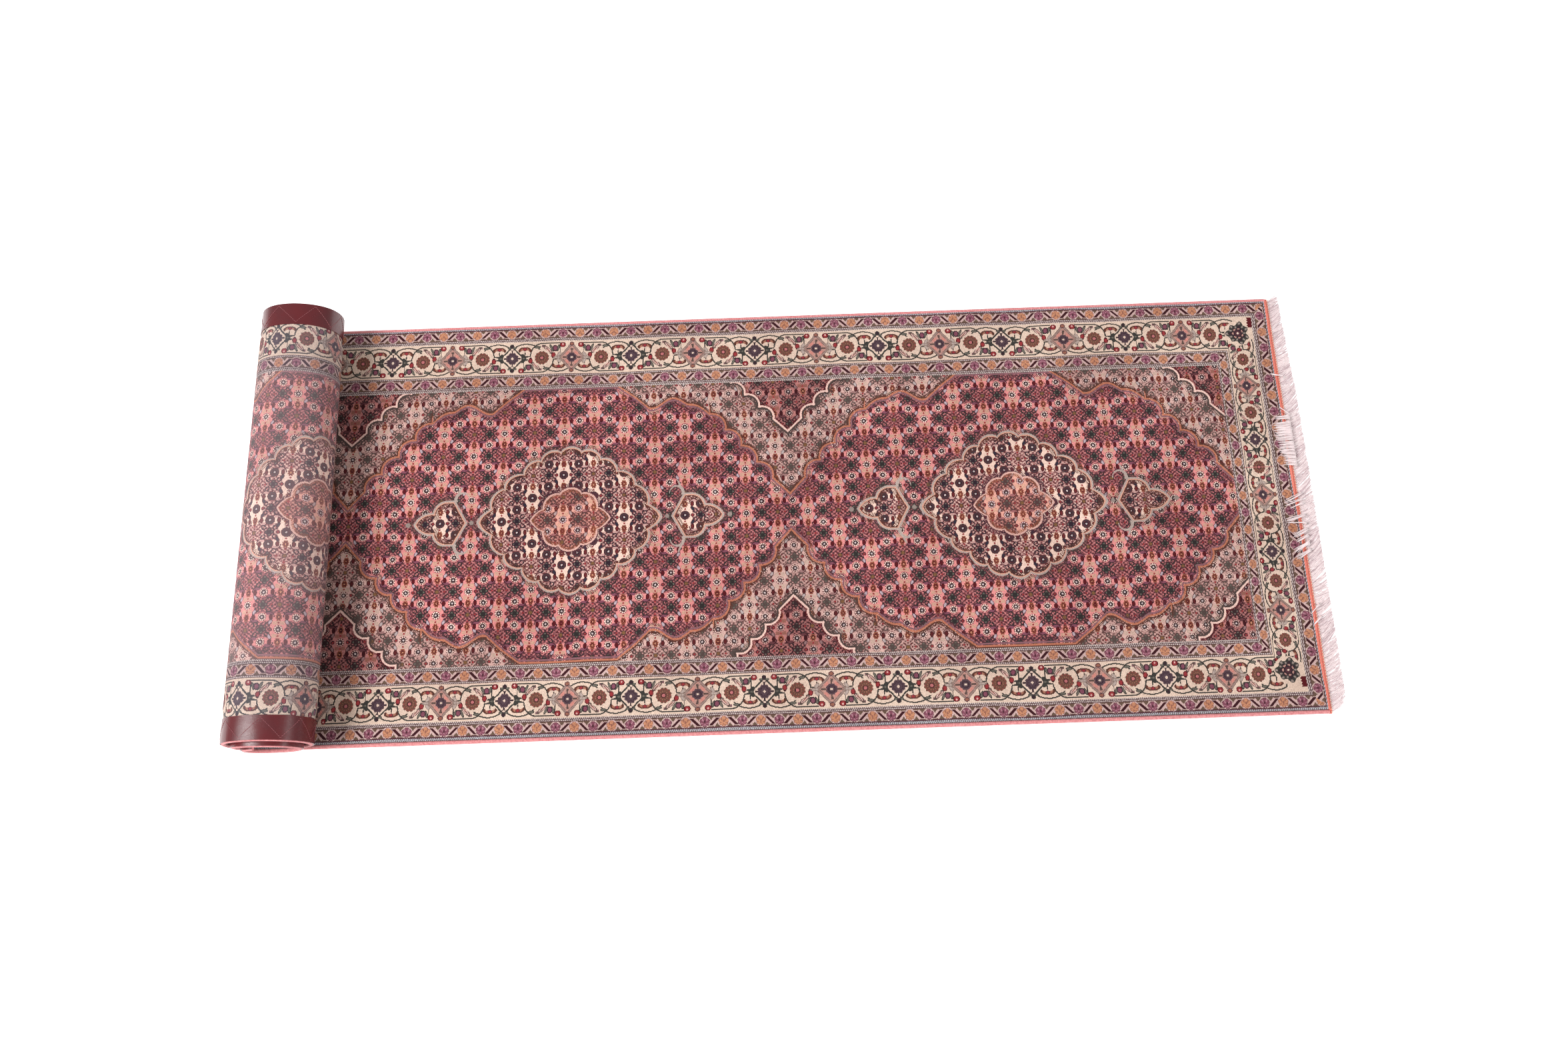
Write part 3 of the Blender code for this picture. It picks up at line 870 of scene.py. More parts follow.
def main_border_wool(steps, inwards):
    """Rosettes between grey and pink diamond flowers, joined by a vine that turns over at each."""
    from_grey = 1.0 - (steps + 1.0).fold(1.0)
    x = from_grey * DIAMOND_PITCH - DIAMOND_PITCH / 2
    pink_half = x > 0.0
    y = (inwards - BORDER_MIDDLE) * x.math("SIGN", x)
    x = abs(x)
    colour = vine_wool(x, y)
    colour = paint_ovals(x, y, PLANT, colour)
    colour = paint_flower(hypotenuse(x, y), direction(x, y), ROSETTE, colour)
    from_diamond = DIAMOND_PITCH / 2 - x
    grey = grey_diamond_wool(from_diamond, abs(y), colour)
    pink = pink_diamond_wool(from_diamond, abs(y), colour)
    return grey.paint(pink_half, pink)


def paint_flower(r, turn, layers, colour, dyes=None, where=None):
    """The layers of a flower, by the distance from its middle and the angle there."""
    counts = {layer.lobes for layer in layers} | {layer.petals for layer in layers}
    waves = {count: (turn * count).cos() for count in sorted(counts - {0})}
    for layer in layers:
        edge = r - waves[layer.lobes] * layer.push if layer.lobes else r
        mask = edge.near(layer.radius, layer.thin) if layer.thin else edge < layer.radius
        if layer.petals:
            mask = mask & waves[layer.petals].near(layer.side, layer.spread)
        if where:
            mask = mask & where
        colour = colour.paint(mask, (dyes or {}).get(layer.wool, layer.wool))
    return colour


def in_box(x, y, spot):
    return x.near(spot.x, spot.wide) & y.near(spot.y, spot.high)


def corner_wool(x, y, colour):
    """The dark leafy flower that fills each corner of the border, and the red patch outside it."""
    r = hypotenuse(x, y)
    turn = direction(x, y)
    colour = colour.paint((r < CORNER_GROUND_RADIUS) | in_box(x, y, CORNER_GROUND), CREAM)
    lobed = r - (turn * CORNER_LOBES).cos() * CORNER_LOBE_DEPTH
    colour = paint_flower(lobed, turn, CORNER_LEAVES, colour)
    colour = paint_flower(r, turn, CORNER_FLOWER, colour)
    toothed = CORNER_PATCH._replace(wide=CORNER_PATCH.wide - y.fold(PATCH_TEETH))
    return colour.paint(in_box(x, y, toothed), DARK_RED)


def vine_wool(x, y):
    """The vine hugs the rosette, arches over the horn, and runs straight along the other side."""
    vines = in_box(x, y, VINE_BARS[0])
    for bar in VINE_BARS[1:]:
        vines = vines | in_box(x, y, bar)
    place = as_place(x, y)
    for arc in VINE_ARCS:
        vines = vines | (place.share_out(arc).near(1.0, arc.thin) & (y > arc.start))
    return tones(x, CREAM, DARK_GREEN, vines)


def as_place(x, y):
    return x.node("ShaderNodeCombineXYZ", {0: x, 1: y})


def leaning(x, y, middle, lean):
    """The place in a shape that leans sideways by so much for each millimetre above its middle."""
    return as_place(x - (y - middle) * lean, y)


def paint_ovals(x, y, ovals, colour):
    """Each oval in its edge wool and, inside that, its core wool."""
    upright = as_place(x, y)
    for oval in ovals:
        place = leaning(x, y, oval.y, oval.lean) if oval.lean else upright
        share = place.share_out(oval)
        colour = colour.paint(share < 1.0, oval.edge).paint(share < CORE_SHARE, oval.core)
    return colour


def grey_diamond_wool(x, height, colour):
    """A dark flower in a light ring, in a dark green wreath with leaves at its corners."""
    r = hypotenuse(x, height)
    turn = direction(x, height)
    colour = paint_flower(r, turn, GREY_WREATH, colour)
    colour = paint_ovals(x, height, GREY_DIAMOND, colour)
    return paint_flower(r, turn, GREY_FLOWER, colour)


def pink_diamond_wool(x, height, colour):
    """A dark flower with salmon petals and four spikes, in a grey-brown diamond with grey leaves."""
    lozenge = x / DIAMOND_HALF_LENGTH + height / DIAMOND_HALF_WIDTH
    for share, wool in DIAMOND_FRAMES:
        colour = colour.paint(lozenge < share, wool)
    colour = paint_ovals(x, height, PINK_DIAMOND, colour)
    return paint_flower(hypotenuse(x, height), direction(x, height), PINK_FLOWER, colour)


def hatched(u, v, hatching):
    slope = u * hatching.along + v * hatching.across
    return slope.fold(hatching.half_spacing) > hatching.stroke


def guard_wool(u, v, inwards, on_end, colour):
    """A guard stripe: orange and plum flowers with slanted bars on a pale row, between fine lines."""
    outer_half = inwards < BORDER_MIDDLE
    y = (inwards - INNER_GUARD).choose(inwards - OUTER_GUARD, outer_half)
    across = abs(y)
    end_steps = v / END_GUARD_PITCH + END_GUARD_START
    steps = (u / GUARD_PITCH + GUARD_START).choose(end_steps, on_end)
    odd = steps.floor() % 2.0
    x = (steps - steps.floor() - 0.5) * GUARD_PITCH
    dashes = hatched(u, v, GUARD_DASHES)
    guard = tones(u, GUARD_GREY, GUARD_BROWN, dashes)
    guard = guard.paint((inwards < OUTER_LINE) & (1.0 - dashes), EDGE_GREY)
    for row_line in ROW_LINES:
        guard = guard.paint(across.near(*row_line), MAUVE_DARK)
    in_row = across < GUARD_HALF_WIDTH
    guard = guard.paint(in_row, ROW_PINK)
    leaf = abs(abs(x) - GUARD_LEAF_MIDDLE) + (GUARD_HALF_WIDTH - across) * GUARD_LEAF_SLOPE
    guard = guard.paint((leaf < GUARD_LEAF_REACH) & in_row, OLIVE_BROWN)
    join_odd = (steps + 0.5).floor() % 2.0
    from_join = (GUARD_PITCH / 2 - abs(x)) * x.math("SIGN", x)
    slant = from_join * (1.0 - join_odd * 2.0) + y
    for thin, reach, wool in SLANTED_BARS:
        guard = guard.paint((abs(slant) < thin) & (across < reach), wool)
    in_main_border = inwards.near(BORDER_MIDDLE, BORDER_HALF_WIDTH)
    guard = guard_flower(x, y, odd, guard).paint(in_main_border, colour)
    return guard.paint(u < CORAL_END, CORAL)


def guard_flower(x, y, odd, colour):
    """A round fan of petals, orange or plum, parted by paler lines."""
    dyes = {
        "rim": tones(x, BROWN_TAN, MAUVE_DARK, odd),
        "petals": tones(x, ORANGE, MAUVE, odd),
        "lines": tones(x, BROWN_TAN, PLUM_LINE, odd),
    }
    fanned = direction(y + FAN_FOOT, x)
    return paint_flower(hypotenuse(x, y), fanned, GUARD_FLOWER, colour, dyes)


def field_wool(u, v):
    """The lattice of fish and rosettes, its tones changed in each ground, and the grounds' outlines."""
    stretched = gained(u, FIELD_STRETCHES, u)
    from_medallion = (stretched - FIRST_MEDALLION).fold(COMPARTMENT / 2)
    middle = v - FIELD_MIDDLE
    across = abs(middle)
    light_edge, maroon_edge = spandrel_edges(from_medallion, across)
    medallion_edge = medallion_depth(from_medallion, across)
    heart_edge = heart_depth(from_medallion, across)
    pendant_edge = pendant_depth(from_medallion, across)
    cream_edge = medallion_edge.math("MAXIMUM", medallion_edge, pendant_edge)
    grounds = (light_edge > 0.0, maroon_edge > 0.0, cream_edge > 0.0, heart_edge > 0.0)
    colour = lattice_wool(u, middle, grounds)
    colour = outline_wool(u, v, light_edge, maroon_edge, cream_edge, heart_edge, colour)
    return scroll_wool(from_medallion, across, colour)


def scalloped_edge(x, across, scallops):
    """How far past a slanting line of arcs a place lies; the first length is straight."""
    y = across - scallops.foot
    chord = math.hypot(scallops.step_x, scallops.step_y)
    slope_x, slope_y = scallops.step_x / chord, scallops.step_y / chord
    along = x * slope_x + y * slope_y
    past = y * slope_x - x * slope_y
    bulge = scallops.bulge
    radius = ((chord / 2) ** 2 + bulge ** 2) / (2 * bulge)
    arcs = hypotenuse((along - chord / 2).fold(chord / 2), past + (radius - bulge)) - radius
    return past.choose(arcs.math("MINIMUM", arcs, past), along > chord)


def spandrel_edges(from_medallion, across):
    """How far a place lies inside the light spandrel and inside its maroon heart."""
    from_join = COMPARTMENT / 2 - from_medallion
    scallops = scalloped_edge(from_join, across, LIGHT_SCALLOPS)
    wave = (from_join.ramp(*WAVE_STRETCH) * (math.tau / WAVE_LENGTH)).cos() * WAVE_DEPTH
    small_lobe = from_join.ramp(*SMALL_LOBE).sin() * SMALL_LOBE_DEPTH
    shoulder = across - gained(from_join, SHOULDER_STEPS) - wave - small_lobe
    light = scallops.choose(shoulder * SHOULDER_SLOPE, from_join > SHOULDER)
    maroon = scalloped_edge(from_join, across, MAROON_SCALLOPS)
    return light, maroon


def medallion_depth(x, y):
    """How far inside the scalloped medallion a place lies; negative outside."""
    r = hypotenuse(x, y)
    turn = direction(x, y)
    arc = abs(((turn - TIP_ANGLE) * MEDALLION_LOBES).sin())
    base = gained(turn, MEDALLION_RADII)
    lobes = base + arc.math("POWER", arc, LOBE_ROUNDNESS) * MEDALLION_LOBE_DEPTH - r
    straight = (TIP_REACH - x) * TIP_SLOPE[0] - y * TIP_SLOPE[1]
    tip = straight + y.ramp(*TIP_CURVE).sin() * TIP_CURVE_DEPTH
    return lobes.choose(tip, turn < TIP_ANGLE)


def heart_depth(x, y):
    """How far inside the rose heart of the medallion a place lies."""
    r = hypotenuse(x, y)
    arc = abs((direction(x, y) * HEART_LOBES).cos())
    lobes = arc.math("POWER", arc, LOBE_ROUNDNESS) * HEART_LOBE_DEPTH
    return lobes + y.ramp(*HEART_TIP) + HEART_RADIUS - r


def pendant_depth(x, y):
    """How far inside the pendant a place lies: a point, two shoulders and a pointed front lobe."""
    beside = (x - PENDANT_START) * PENDANT_SLOPE[0] - y * PENDANT_SLOPE[1]
    right = x.math("MAXIMUM", x - PENDANT_SHOULDER.x, 0.0)
    up = y.math("MAXIMUM", y - PENDANT_SHOULDER.y, 0.0)
    body = beside.math("MINIMUM", beside, PENDANT_SHOULDER.radius - hypotenuse(right, up))
    return body.math("MAXIMUM", body, inside_round(x, y, PENDANT_FRONT))


def inside_round(x, y, outline):
    """How far inside a round a place lies."""
    return outline.radius - hypotenuse(x - outline.x, y - outline.y)


def of_ground(ground_masks, choices):
    """The tone for the ground that a place lies in."""
    colour = tones(ground_masks[0], choices.open, choices.light, ground_masks[0])
    for mask, tone in zip(ground_masks[1:], choices[2:]):
        colour = colour.paint(mask, tone)
    return colour


def lattice_wool(u, v, grounds):
    """Cells of two grounds by turns, under rows of palmettes, rosettes and leaves."""
    along = (u - LATTICE_START) / CELL_LENGTH - u.ramp(*FIRST_ROW_STRETCH)
    across = v / CELL_WIDTH
    pink = ((along + 0.5).floor() + (across + 0.5).floor()) % 2.0
    x = along.fold(0.5) * CELL_LENGTH
    y = across.fold(0.5) * CELL_WIDTH
    dyes = {name: of_ground(grounds, choices) for name, choices in FIELD_TONES.items()}
    colour = ground_wool(u, v, x, y, pink, dyes)
    colour = fish_wool(x, y, pink, dyes, colour)
    colour = palmette_wool(x, y, dyes, colour)
    return lattice_rosettes(x, y, pink, grounds, dyes, colour)


def ground_wool(u, v, x, y, pink, dyes):
    """Dull ground full of small leaves, and bright ground round the rosettes and palmettes."""
    specks = (as_place(u, v).noise(SPECK_SCALE) - 0.5) * SPECK_HEIGHT
    sprigs = (x * SPRIGS_ALONG).cos() * (y * SPRIGS_ACROSS).cos() + specks
    colour = dyes["dull"].paint(sprigs > SPRIG_LEVEL, dyes["shade"])
    colour = colour.paint((sprigs < BRIGHT_LEVEL) * BRIGHT_SHARE, dyes["bright"])
    row = HALF_CELL_WIDTH - y < ROW_HALF_WIDTH
    colour = colour.paint((pink & (x < PINK_HALF_LENGTH)) | row, dyes["bright"])
    return colour.paint(pink & in_box(x, y, TAN_SPOT), dyes["tan"])


def fish_wool(x, y, pink, dyes, colour):
    """The curved leaves round the plum cells, and the light leaves and hooks beside the pink ones."""
    plum = 1.0 - pink
    place = as_place(x, y)
    curl = place.share_out(CURLED_LEAF)
    colour = colour.paint(((curl < CURL_INSIDE) & plum) & (y < CURL_FOOT), dyes["curl"])
    colour = colour.paint(curl.near(*CURL_RIM) & plum, dyes["shade"])
    hook = place.share_out(HOOK)
    colour = colour.paint(hook.near(*HOOK_RIM), dyes["green"])
    leaf = leaning(x, y, LIGHT_LEAF.y, LIGHT_LEAF_LEAN).share_out(LIGHT_LEAF)
    colour = colour.paint((leaf < 1.0) & pink, dyes["shade"])
    colour = colour.paint((leaf < LIGHT_LEAF_INSIDE) & pink, dyes["leaf"])
    bud = inside_round(x, y, BUD)
    colour = colour.paint(bud > pink * -PINK_BUD_RIM - BUD_RIM, dyes["shade"])
    colour = colour.paint(bud > 0.0, ROSE_RED)
    return paint_flower(hypotenuse(x, y), direction(x, y), PLUM_RING, colour, dyes, plum)


def palmette_wool(x, y, dyes, colour):
    """Dark green palmettes at the sides of the cells, red and brown ones at their ends."""
    corner_x = HALF_CELL_LENGTH - x
    turn = direction(corner_x, y)
    colour = paint_flower(hypotenuse(corner_x, y), turn, GREEN_PALMETTE, colour, dyes)
    place = as_place(x, y)
    colour = paint_flower(place.share_out(SIDE_SPOT), turn, SIDE_PALMETTE, colour, dyes)
    end_turn = direction(x, HALF_CELL_WIDTH - y)
    colour = paint_flower(place.share_out(END_SPOT), end_turn, END_PALMETTE, colour, dyes)
    return colour.paint(inside_round(x, y, TAIL) > 0.0, ROSE_RED)


def lattice_rosettes(x, y, pink, grounds, dyes, colour):
    """White-petalled rosettes at the corners and in the pink cells, olive ones in the plum cells."""
    corner_x = HALF_CELL_LENGTH - x
    corner_y = HALF_CELL_WIDTH - y
    at_corner = (corner_x + corner_y) < CELL_CORNER_REACH
    x = x.choose(corner_x, at_corner)
    y = y.choose(corner_y, at_corner)
    white = at_corner | pink
    r = hypotenuse(x, y)
    turn = direction(x, y)
    in_medallion = grounds[2] & (1.0 - grounds[3]) & white
    colour = paint_flower(r, turn, WHITE_ROSETTE, colour, dyes, white)
    colour = paint_flower(r, turn, MEDALLION_ROSETTE, colour, dyes, in_medallion)
    eye = {**dyes, "eye": tones(r, OLIVE, DARK_PLUM, white)}
    colour = paint_flower(r, turn, ROSETTE_EYE, colour, eye)
    return colour.paint((r < EYE_DOT) & white, PALE_GREY)


def outline_wool(u, v, light_edge, maroon_edge, cream_edge, heart_edge, colour):
    """The drawn lines round the grounds, with hatched shading beside them."""
    hatch = hatched(u, v, SHADING)
    outside_lights = 1.0 - (light_edge > -SHADING_STOP)
    colour = draw_lines(light_edge, LIGHT_LINES, hatch, colour)
    colour = draw_lines(maroon_edge, MAROON_LINES, hatch, colour)
    shading = cream_edge.near(*CREAM_SHADING) & hatch
    colour = colour.paint(shading & outside_lights, SHADE_GREEN)
    colour = draw_lines(cream_edge, CREAM_LINES, hatch, colour)
    return draw_lines(heart_edge, HEART_LINES, hatch, colour)


def draw_lines(edge, lines, hatch, colour):
    for line in lines:
        mask = edge.near(line.inside, line.thin)
        colour = colour.paint(mask & hatch if line.hatched else mask, line.wool)
    return colour


def scroll_wool(x, y, colour):
    """The curling scroll and its leaf at each shoulder of a pendant."""
    from_arc = abs(inside_round(x, y, SCROLL))
    above = ((y > SCROLL_START_HEIGHT) | (x > SCROLL_TURN)) & (y > SCROLL_END_HEIGHT)
    arc = (from_arc < x.ramp(*SCROLL_THICKNESS)) & above
    leaf = leaning(x, y, SCROLL_LEAF.y, SCROLL_LEAF_LEAN).share_out(SCROLL_LEAF)
    colour = colour.paint(arc | (leaf < 1.0), STONE_LINE)
    back_bulb, front_bulb = (inside_round(x, y, bulb) > 0.0 for bulb in BULBS)
    return colour.paint(back_bulb | front_bulb, STONE)


# Materials


def new_material(name, finish):
    material = bpy.data.materials.new(name)
    material.use_nodes = True
    shader = material.node_tree.nodes["Principled BSDF"]
    for socket, level in finish.items():
        shader.inputs[socket].default_value = level
    return material, shader, Value(material.node_tree)


def feed(shader, name, value):
    """Link a value to a socket of the shader."""
    value.tree.links.new(value.socket, shader.inputs[name])


def feed_relief(shader, height, relief):
    sockets = {"Height": height, "Strength": relief.strength, "Distance": relief.depth}
    feed(shader, "Normal", height.node("ShaderNodeBump", sockets))


def dyed(place, dye):
    """The tone of an uneven dye at a place, a vector."""
    return tones(place, dye.tone, dye.dark, place.noise(dye.scale, dye.detail).ramp(*dye.spread))


def own_place(start):
    """The place on the piece itself, in metres."""
    return start.node("ShaderNodeTexCoord", output=3)


def cloth_place(start):
    """Along and across on the cloth, in metres, as a vector."""
    return start.node("ShaderNodeUVMap", uv_map="cloth")


def knot_places(raw):
    """Along and across on the cloth, in millimetres, each knot one place, and that place in metres."""
    centred = {0: raw.noise(SWAY_SCALE, output=1), 1: (0.5, 0.5, 0.5)}
    sway = raw.node("ShaderNodeVectorMath", centred, operation="SUBTRACT")
    sway = raw.node("ShaderNodeVectorMath", {0: sway, 3: SWAY}, operation="SCALE")
    moved = raw.node("ShaderNodeVectorMath", {0: raw, 1: sway}, operation="ADD")
    knot = (KNOT / 1000,) * 3
    snapped = raw.node("ShaderNodeVectorMath", {0: moved, 1: knot}, operation="SNAP")
    along, across = snapped.parts()
    return along * 1000.0, across * 1000.0, snapped


def worn_wool(raw, pattern):
    """The pattern with small differences from knot to knot, and slow changes of dye along the rug."""
    u, v, snapped = knot_places(raw)
    knots = raw.node("ShaderNodeTexWhiteNoise", {"Vector": snapped}, noise_dimensions="2D")
    colour = pattern(u, v).paint(knots * KNOT_SHADE, NEAR_BLACK)
    lightness = raw.node("ShaderNodeRGBToBW", {"Color": colour})
    colour = colour.tinted(lightness.math("POWER", lightness, DYE_CONTRAST) * DYE_GAIN)
    slow = raw.noise(WEAR_SCALE, 1.0)
    return colour.tinted(tones(raw, FRESH_WEAR, OLD_WEAR, slow.ramp(*WEAR_SPREAD)))


def pile_material(name, pattern):
    material, shader, start = new_material(name, PILE_FINISH)
    raw = cloth_place(start)
    feed(shader, "Base Color", worn_wool(raw, pattern))
    feed_relief(shader, raw.noise(PILE_TUFTS.scale), PILE_TUFTS)
    return material


def back_material(name, pattern, haze_and_sheen):
    """The back shows each knot of the same pattern through a haze, partly the real warps and partly a
    painted sheen of white light, with the ribs of the warps.
    """
    material, shader, start = new_material(name, BACK_FINISH)
    raw = cloth_place(start)
    # The haze is partly the warps over the knots, partly painted sheen of the white light
    feed(shader, "Base Color", worn_wool(raw, pattern).paint(haze_and_sheen.share, haze_and_sheen.tone))
    feed_relief(shader, raw.ribs(BACK_RIBS.scale, bands_direction="Y"), BACK_RIBS)
    return material


def cord_material():
    material, shader, start = new_material("pink_overcast_wool", CORD_FINISH)
    raw = cloth_place(start)
    feed(shader, "Base Color", dyed(raw, CORD_DYE))
    feed_relief(shader, raw.ribs(CORD_WRAPS.scale, WRAP_UNEVENNESS), CORD_WRAPS)
    return material


def leather_material():
    material, shader, start = new_material("glossy_red_leather", LEATHER_FINISH)
    raw = cloth_place(start)
    feed(shader, "Base Color", dyed(raw, LEATHER_DYE))
    cloudy = raw.noise(LEATHER_DYE.scale, LEATHER_DYE.detail)
    feed(shader, "Roughness", cloudy.ramp(*LEATHER_GLOSS))
    grain = raw.node("ShaderNodeTexVoronoi", {"Vector": raw, "Scale": LEATHER_GRAIN.scale})
    feed_relief(shader, grain * GRAIN_SHARE + raw.noise(CREASE_SCALE, 3.0), LEATHER_GRAIN)
    return material


def cotton_material():
    material, shader, start = new_material("white_cotton_yarn", COTTON_FINISH)
    place = own_place(start)
    yarn_tone = start.node("ShaderNodeAttribute", output=2, attribute_name="tone")
    # Darker yarns: partly their own tone, partly painted shade between the streaks of the fringe
    darker_and_shaded = yarn_tone.ramp(*DARK_AND_SHADED_YARN_SPREAD)
    feed(shader, "Base Color", dyed(place, COTTON_DYE).paint(darker_and_shaded, DARK_AND_SHADED_YARN))
    feed_relief(shader, place.noise(YARN_PLIES.scale, 1.0), YARN_PLIES)
    return material


def thread_material(name, dye):
    material, shader, start = new_material(name, THREAD_FINISH)
    place = own_place(start)
    feed(shader, "Base Color", dyed(place, dye))
    feed_relief(shader, place.noise(THREAD_FIBRES.scale, 2.0), THREAD_FIBRES)
    return material


def band_material():
    material, shader, start = new_material("coral_woven_band", BAND_FINISH)
    place = own_place(start)
    feed(shader, "Base Color", dyed(place, BAND_DYE))
    feed_relief(shader, place.ribs(BAND_RIBS.scale, bands_direction="Y"), BAND_RIBS)
    return material


# Pieces that follow the rug's path


def swept_piece(name, section, path, materials, face_material=None):
    """A closed body whose section, a loop of (across, height) points, is carried along the path."""
    verts = [lay(station, across, height) for station in path for across, height in section]
    count = len(section)
    faces = []
    places = []
    for row in range(len(path) - 1):
        for point in range(count):
            after = (point + 1) % count
            faces.append((row * count + point, (row + 1) * count + point,
                          (row + 1) * count + after, row * count + after))
            places.append((row, point))
    faces.append(tuple(range(count)))
    faces.append(tuple((len(path) - 1) * count + point for point in reversed(range(count))))
    mesh = bpy.data.meshes.new(name)
    mesh.from_pydata(verts, [], faces)
    cloth = mesh.uv_layers.new(name="cloth")
    for loop in mesh.loops:
        row, point = divmod(loop.vertex_index, count)
        cloth.data[loop.index].uv = (path[row].travelled, section[point][0])
    for material in materials:
        mesh.materials.append(material)
    if face_material:
        for polygon, place in zip(mesh.polygons, places):
            polygon.material_index = face_material(*place)
    piece = bpy.data.objects.new(name, mesh)
    bpy.context.scene.collection.objects.link(piece)
    return piece


def shade_smooth(piece, sharp_angle):
    for polygon in piece.data.polygons:
        polygon.use_smooth = True
    piece.data.set_sharp_from_angle(angle=sharp_angle)


def rug_section():
    """The back from the near edge to the far edge, then the pile from far to near."""
    edge = RUG_WIDTH / 2 - CORD_WIDTH - SEAM_GAP
    field = FIELD_EDGE / 1000
    half_back = [
        (field, 0.0),
        (MIDDLE_HALF_WIDTH, 0.0),
        (MIDDLE_HALF_WIDTH + SLOPE_WIDTH, EDGE_LIFT),
        (edge, EDGE_LIFT),
    ]
    half_pile = [(across, lift + CLOTH_THICKNESS) for across, lift in half_back]
    back = [(-across, lift) for across, lift in reversed(half_back)] + half_back
    pile = list(reversed(half_pile)) + [(-across, lift) for across, lift in half_pile]
    return back + pile


def make_rug(path):
    section = rug_section()
    materials = (
        back_material("wool_back_border", border_wool, BORDER_HAZE_AND_SHEEN),
        back_material("wool_back_field", field_wool, FIELD_HAZE_AND_SHEEN),
        pile_material("wool_pile_border", border_wool),
        pile_material("wool_pile_field", field_wool),
    )
    field = FIELD_EDGE / 1000
    on_back = len(section) // 2

    def face_material(row, point):
        after = section[(point + 1) % len(section)][0]
        in_field = abs(section[point][0]) <= field and abs(after) <= field
        inside = path[row].travelled >= END_FIELD_EDGE / 1000 - SEAM_GAP
        return (2 if point >= on_back else 0) + (1 if in_field and inside else 0)

    rug = swept_piece("rug_cloth", section, path, materials, face_material)
    shade_smooth(rug, SHARP_CLOTH_EDGE)
    return rug


def make_cord(name, side, path, material):
    radius = CORD_WIDTH / 2
    centre = side * (RUG_WIDTH / 2 - radius)
    section = []
    for number in range(CORD_SIDES):
        angle = math.tau * number / CORD_SIDES
        section.append((centre + radius * math.cos(angle), EDGE_LIFT + radius + radius * math.sin(angle)))
    cord = swept_piece(name, section, path, [material])
    shade_smooth(cord, SHARP_CORD_EDGE)
    return cord


def make_leather(name, side, path, material):
    first, last = sorted((side * LEATHER_INNER_EDGE, side * LEATHER_OUTER_EDGE))
    low, high = LEATHER_FLOOR_GAP, LEATHER_FLOOR_GAP + LEATHER_THICKNESS
    section = [(first, low), (last, low), (last, high), (first, high)]
    strip = swept_piece(name, section, path, [material])
    shade_smooth(strip, SHARP_CLOTH_EDGE)
    return strip


# Pieces grown with Geometry Nodes


def new_tree(name, sizes):
    """A tree that makes a mesh, with an input for a guide mesh and one for each named size."""
    tree = bpy.data.node_groups.new(name, "GeometryNodeTree")
    tree.interface.new_socket("Mesh", in_out="OUTPUT", socket_type="NodeSocketGeometry")
    tree.interface.new_socket("Guide", in_out="INPUT", socket_type="NodeSocketGeometry")
    for size_name, size in sizes.items():
        kind = "NodeSocketInt" if isinstance(size, int) else "NodeSocketFloat"
        tree.interface.new_socket(size_name, in_out="INPUT", socket_type=kind)
    inputs = tree.nodes.new("NodeGroupInput")
    return {socket.name: Value(tree, socket) for socket in inputs.outputs if socket.name}


def spun_yarn(curve, radius, taper, material):
    """Round yarn along the curves, thinner by the taper, ready as the result of the tree."""
    profile = curve.node("GeometryNodeCurvePrimitiveCircle", {"Resolution": YARN_SIDES, "Radius": radius})
    sockets = {"Curve": curve, "Profile Curve": profile, "Scale": taper, "Fill Caps": True}
    finish_tree(curve.node("GeometryNodeCurveToMesh", sockets), material)


def finish_tree(made, material):
    real = made.node("GeometryNodeRealizeInstances", {"Geometry": made})
    smooth = made.node("GeometryNodeSetShadeSmooth", {0: real})
    finished = made.node("GeometryNodeSetMaterial", {"Geometry": smooth, "Material": material})
    result = made.tree.nodes.new("NodeGroupOutput")
    made.tree.links.new(finished.socket, result.inputs["Mesh"])


def grow(name, tree, sizes, guide=None):
    """The mesh that the tree makes with these sizes, as a plain piece."""
    piece = bpy.data.objects.new(name, guide or bpy.data.meshes.new(name))
    bpy.context.scene.collection.objects.link(piece)
    modifier = piece.modifiers.new("grown", "NODES")
    modifier.node_group = tree
    for socket in tree.interface.items_tree:
        if socket.in_out == "INPUT" and socket.name in sizes:
            modifier[socket.identifier] = sizes[socket.name]
    graph = bpy.context.evaluated_depsgraph_get()
    mesh = bpy.data.meshes.new_from_object(piece.evaluated_get(graph))
    piece.modifiers.remove(modifier)
    piece.data = mesh
    return piece


def guide_lines(name, lines):
    """A mesh of bare edges through each line of points."""
    points = []
    edges = []
    for line in lines:
        edges += [(len(points) + step, len(points) + step + 1) for step in range(len(line) - 1)]
        points += line
    mesh = bpy.data.meshes.new(name)
    mesh.from_pydata(points, edges, [])
    return mesh


def chance(number, seed, step, reach=(0.0, 1.0)):
    """A random number for each yarn; every step of the seed gives other numbers."""
    sockets = {2: reach[0], 3: reach[1], 7: number, 8: seed + step}
    return number.node("FunctionNodeRandomValue", sockets, output=1)


def kept(geometry, name, value):
    sockets = {"Geometry": geometry, "Name": name, "Value": value}
    return geometry.node("GeometryNodeStoreNamedAttribute", sockets)


def recalled(start, name):
    return start.node("GeometryNodeInputNamedAttribute", {"Name": name})


def placed(curve, x, y, z):
    place = curve.node("ShaderNodeCombineXYZ", {0: x, 1: y, 2: z})
    return curve.node("GeometryNodeSetPosition", {"Geometry": curve, "Position": place})


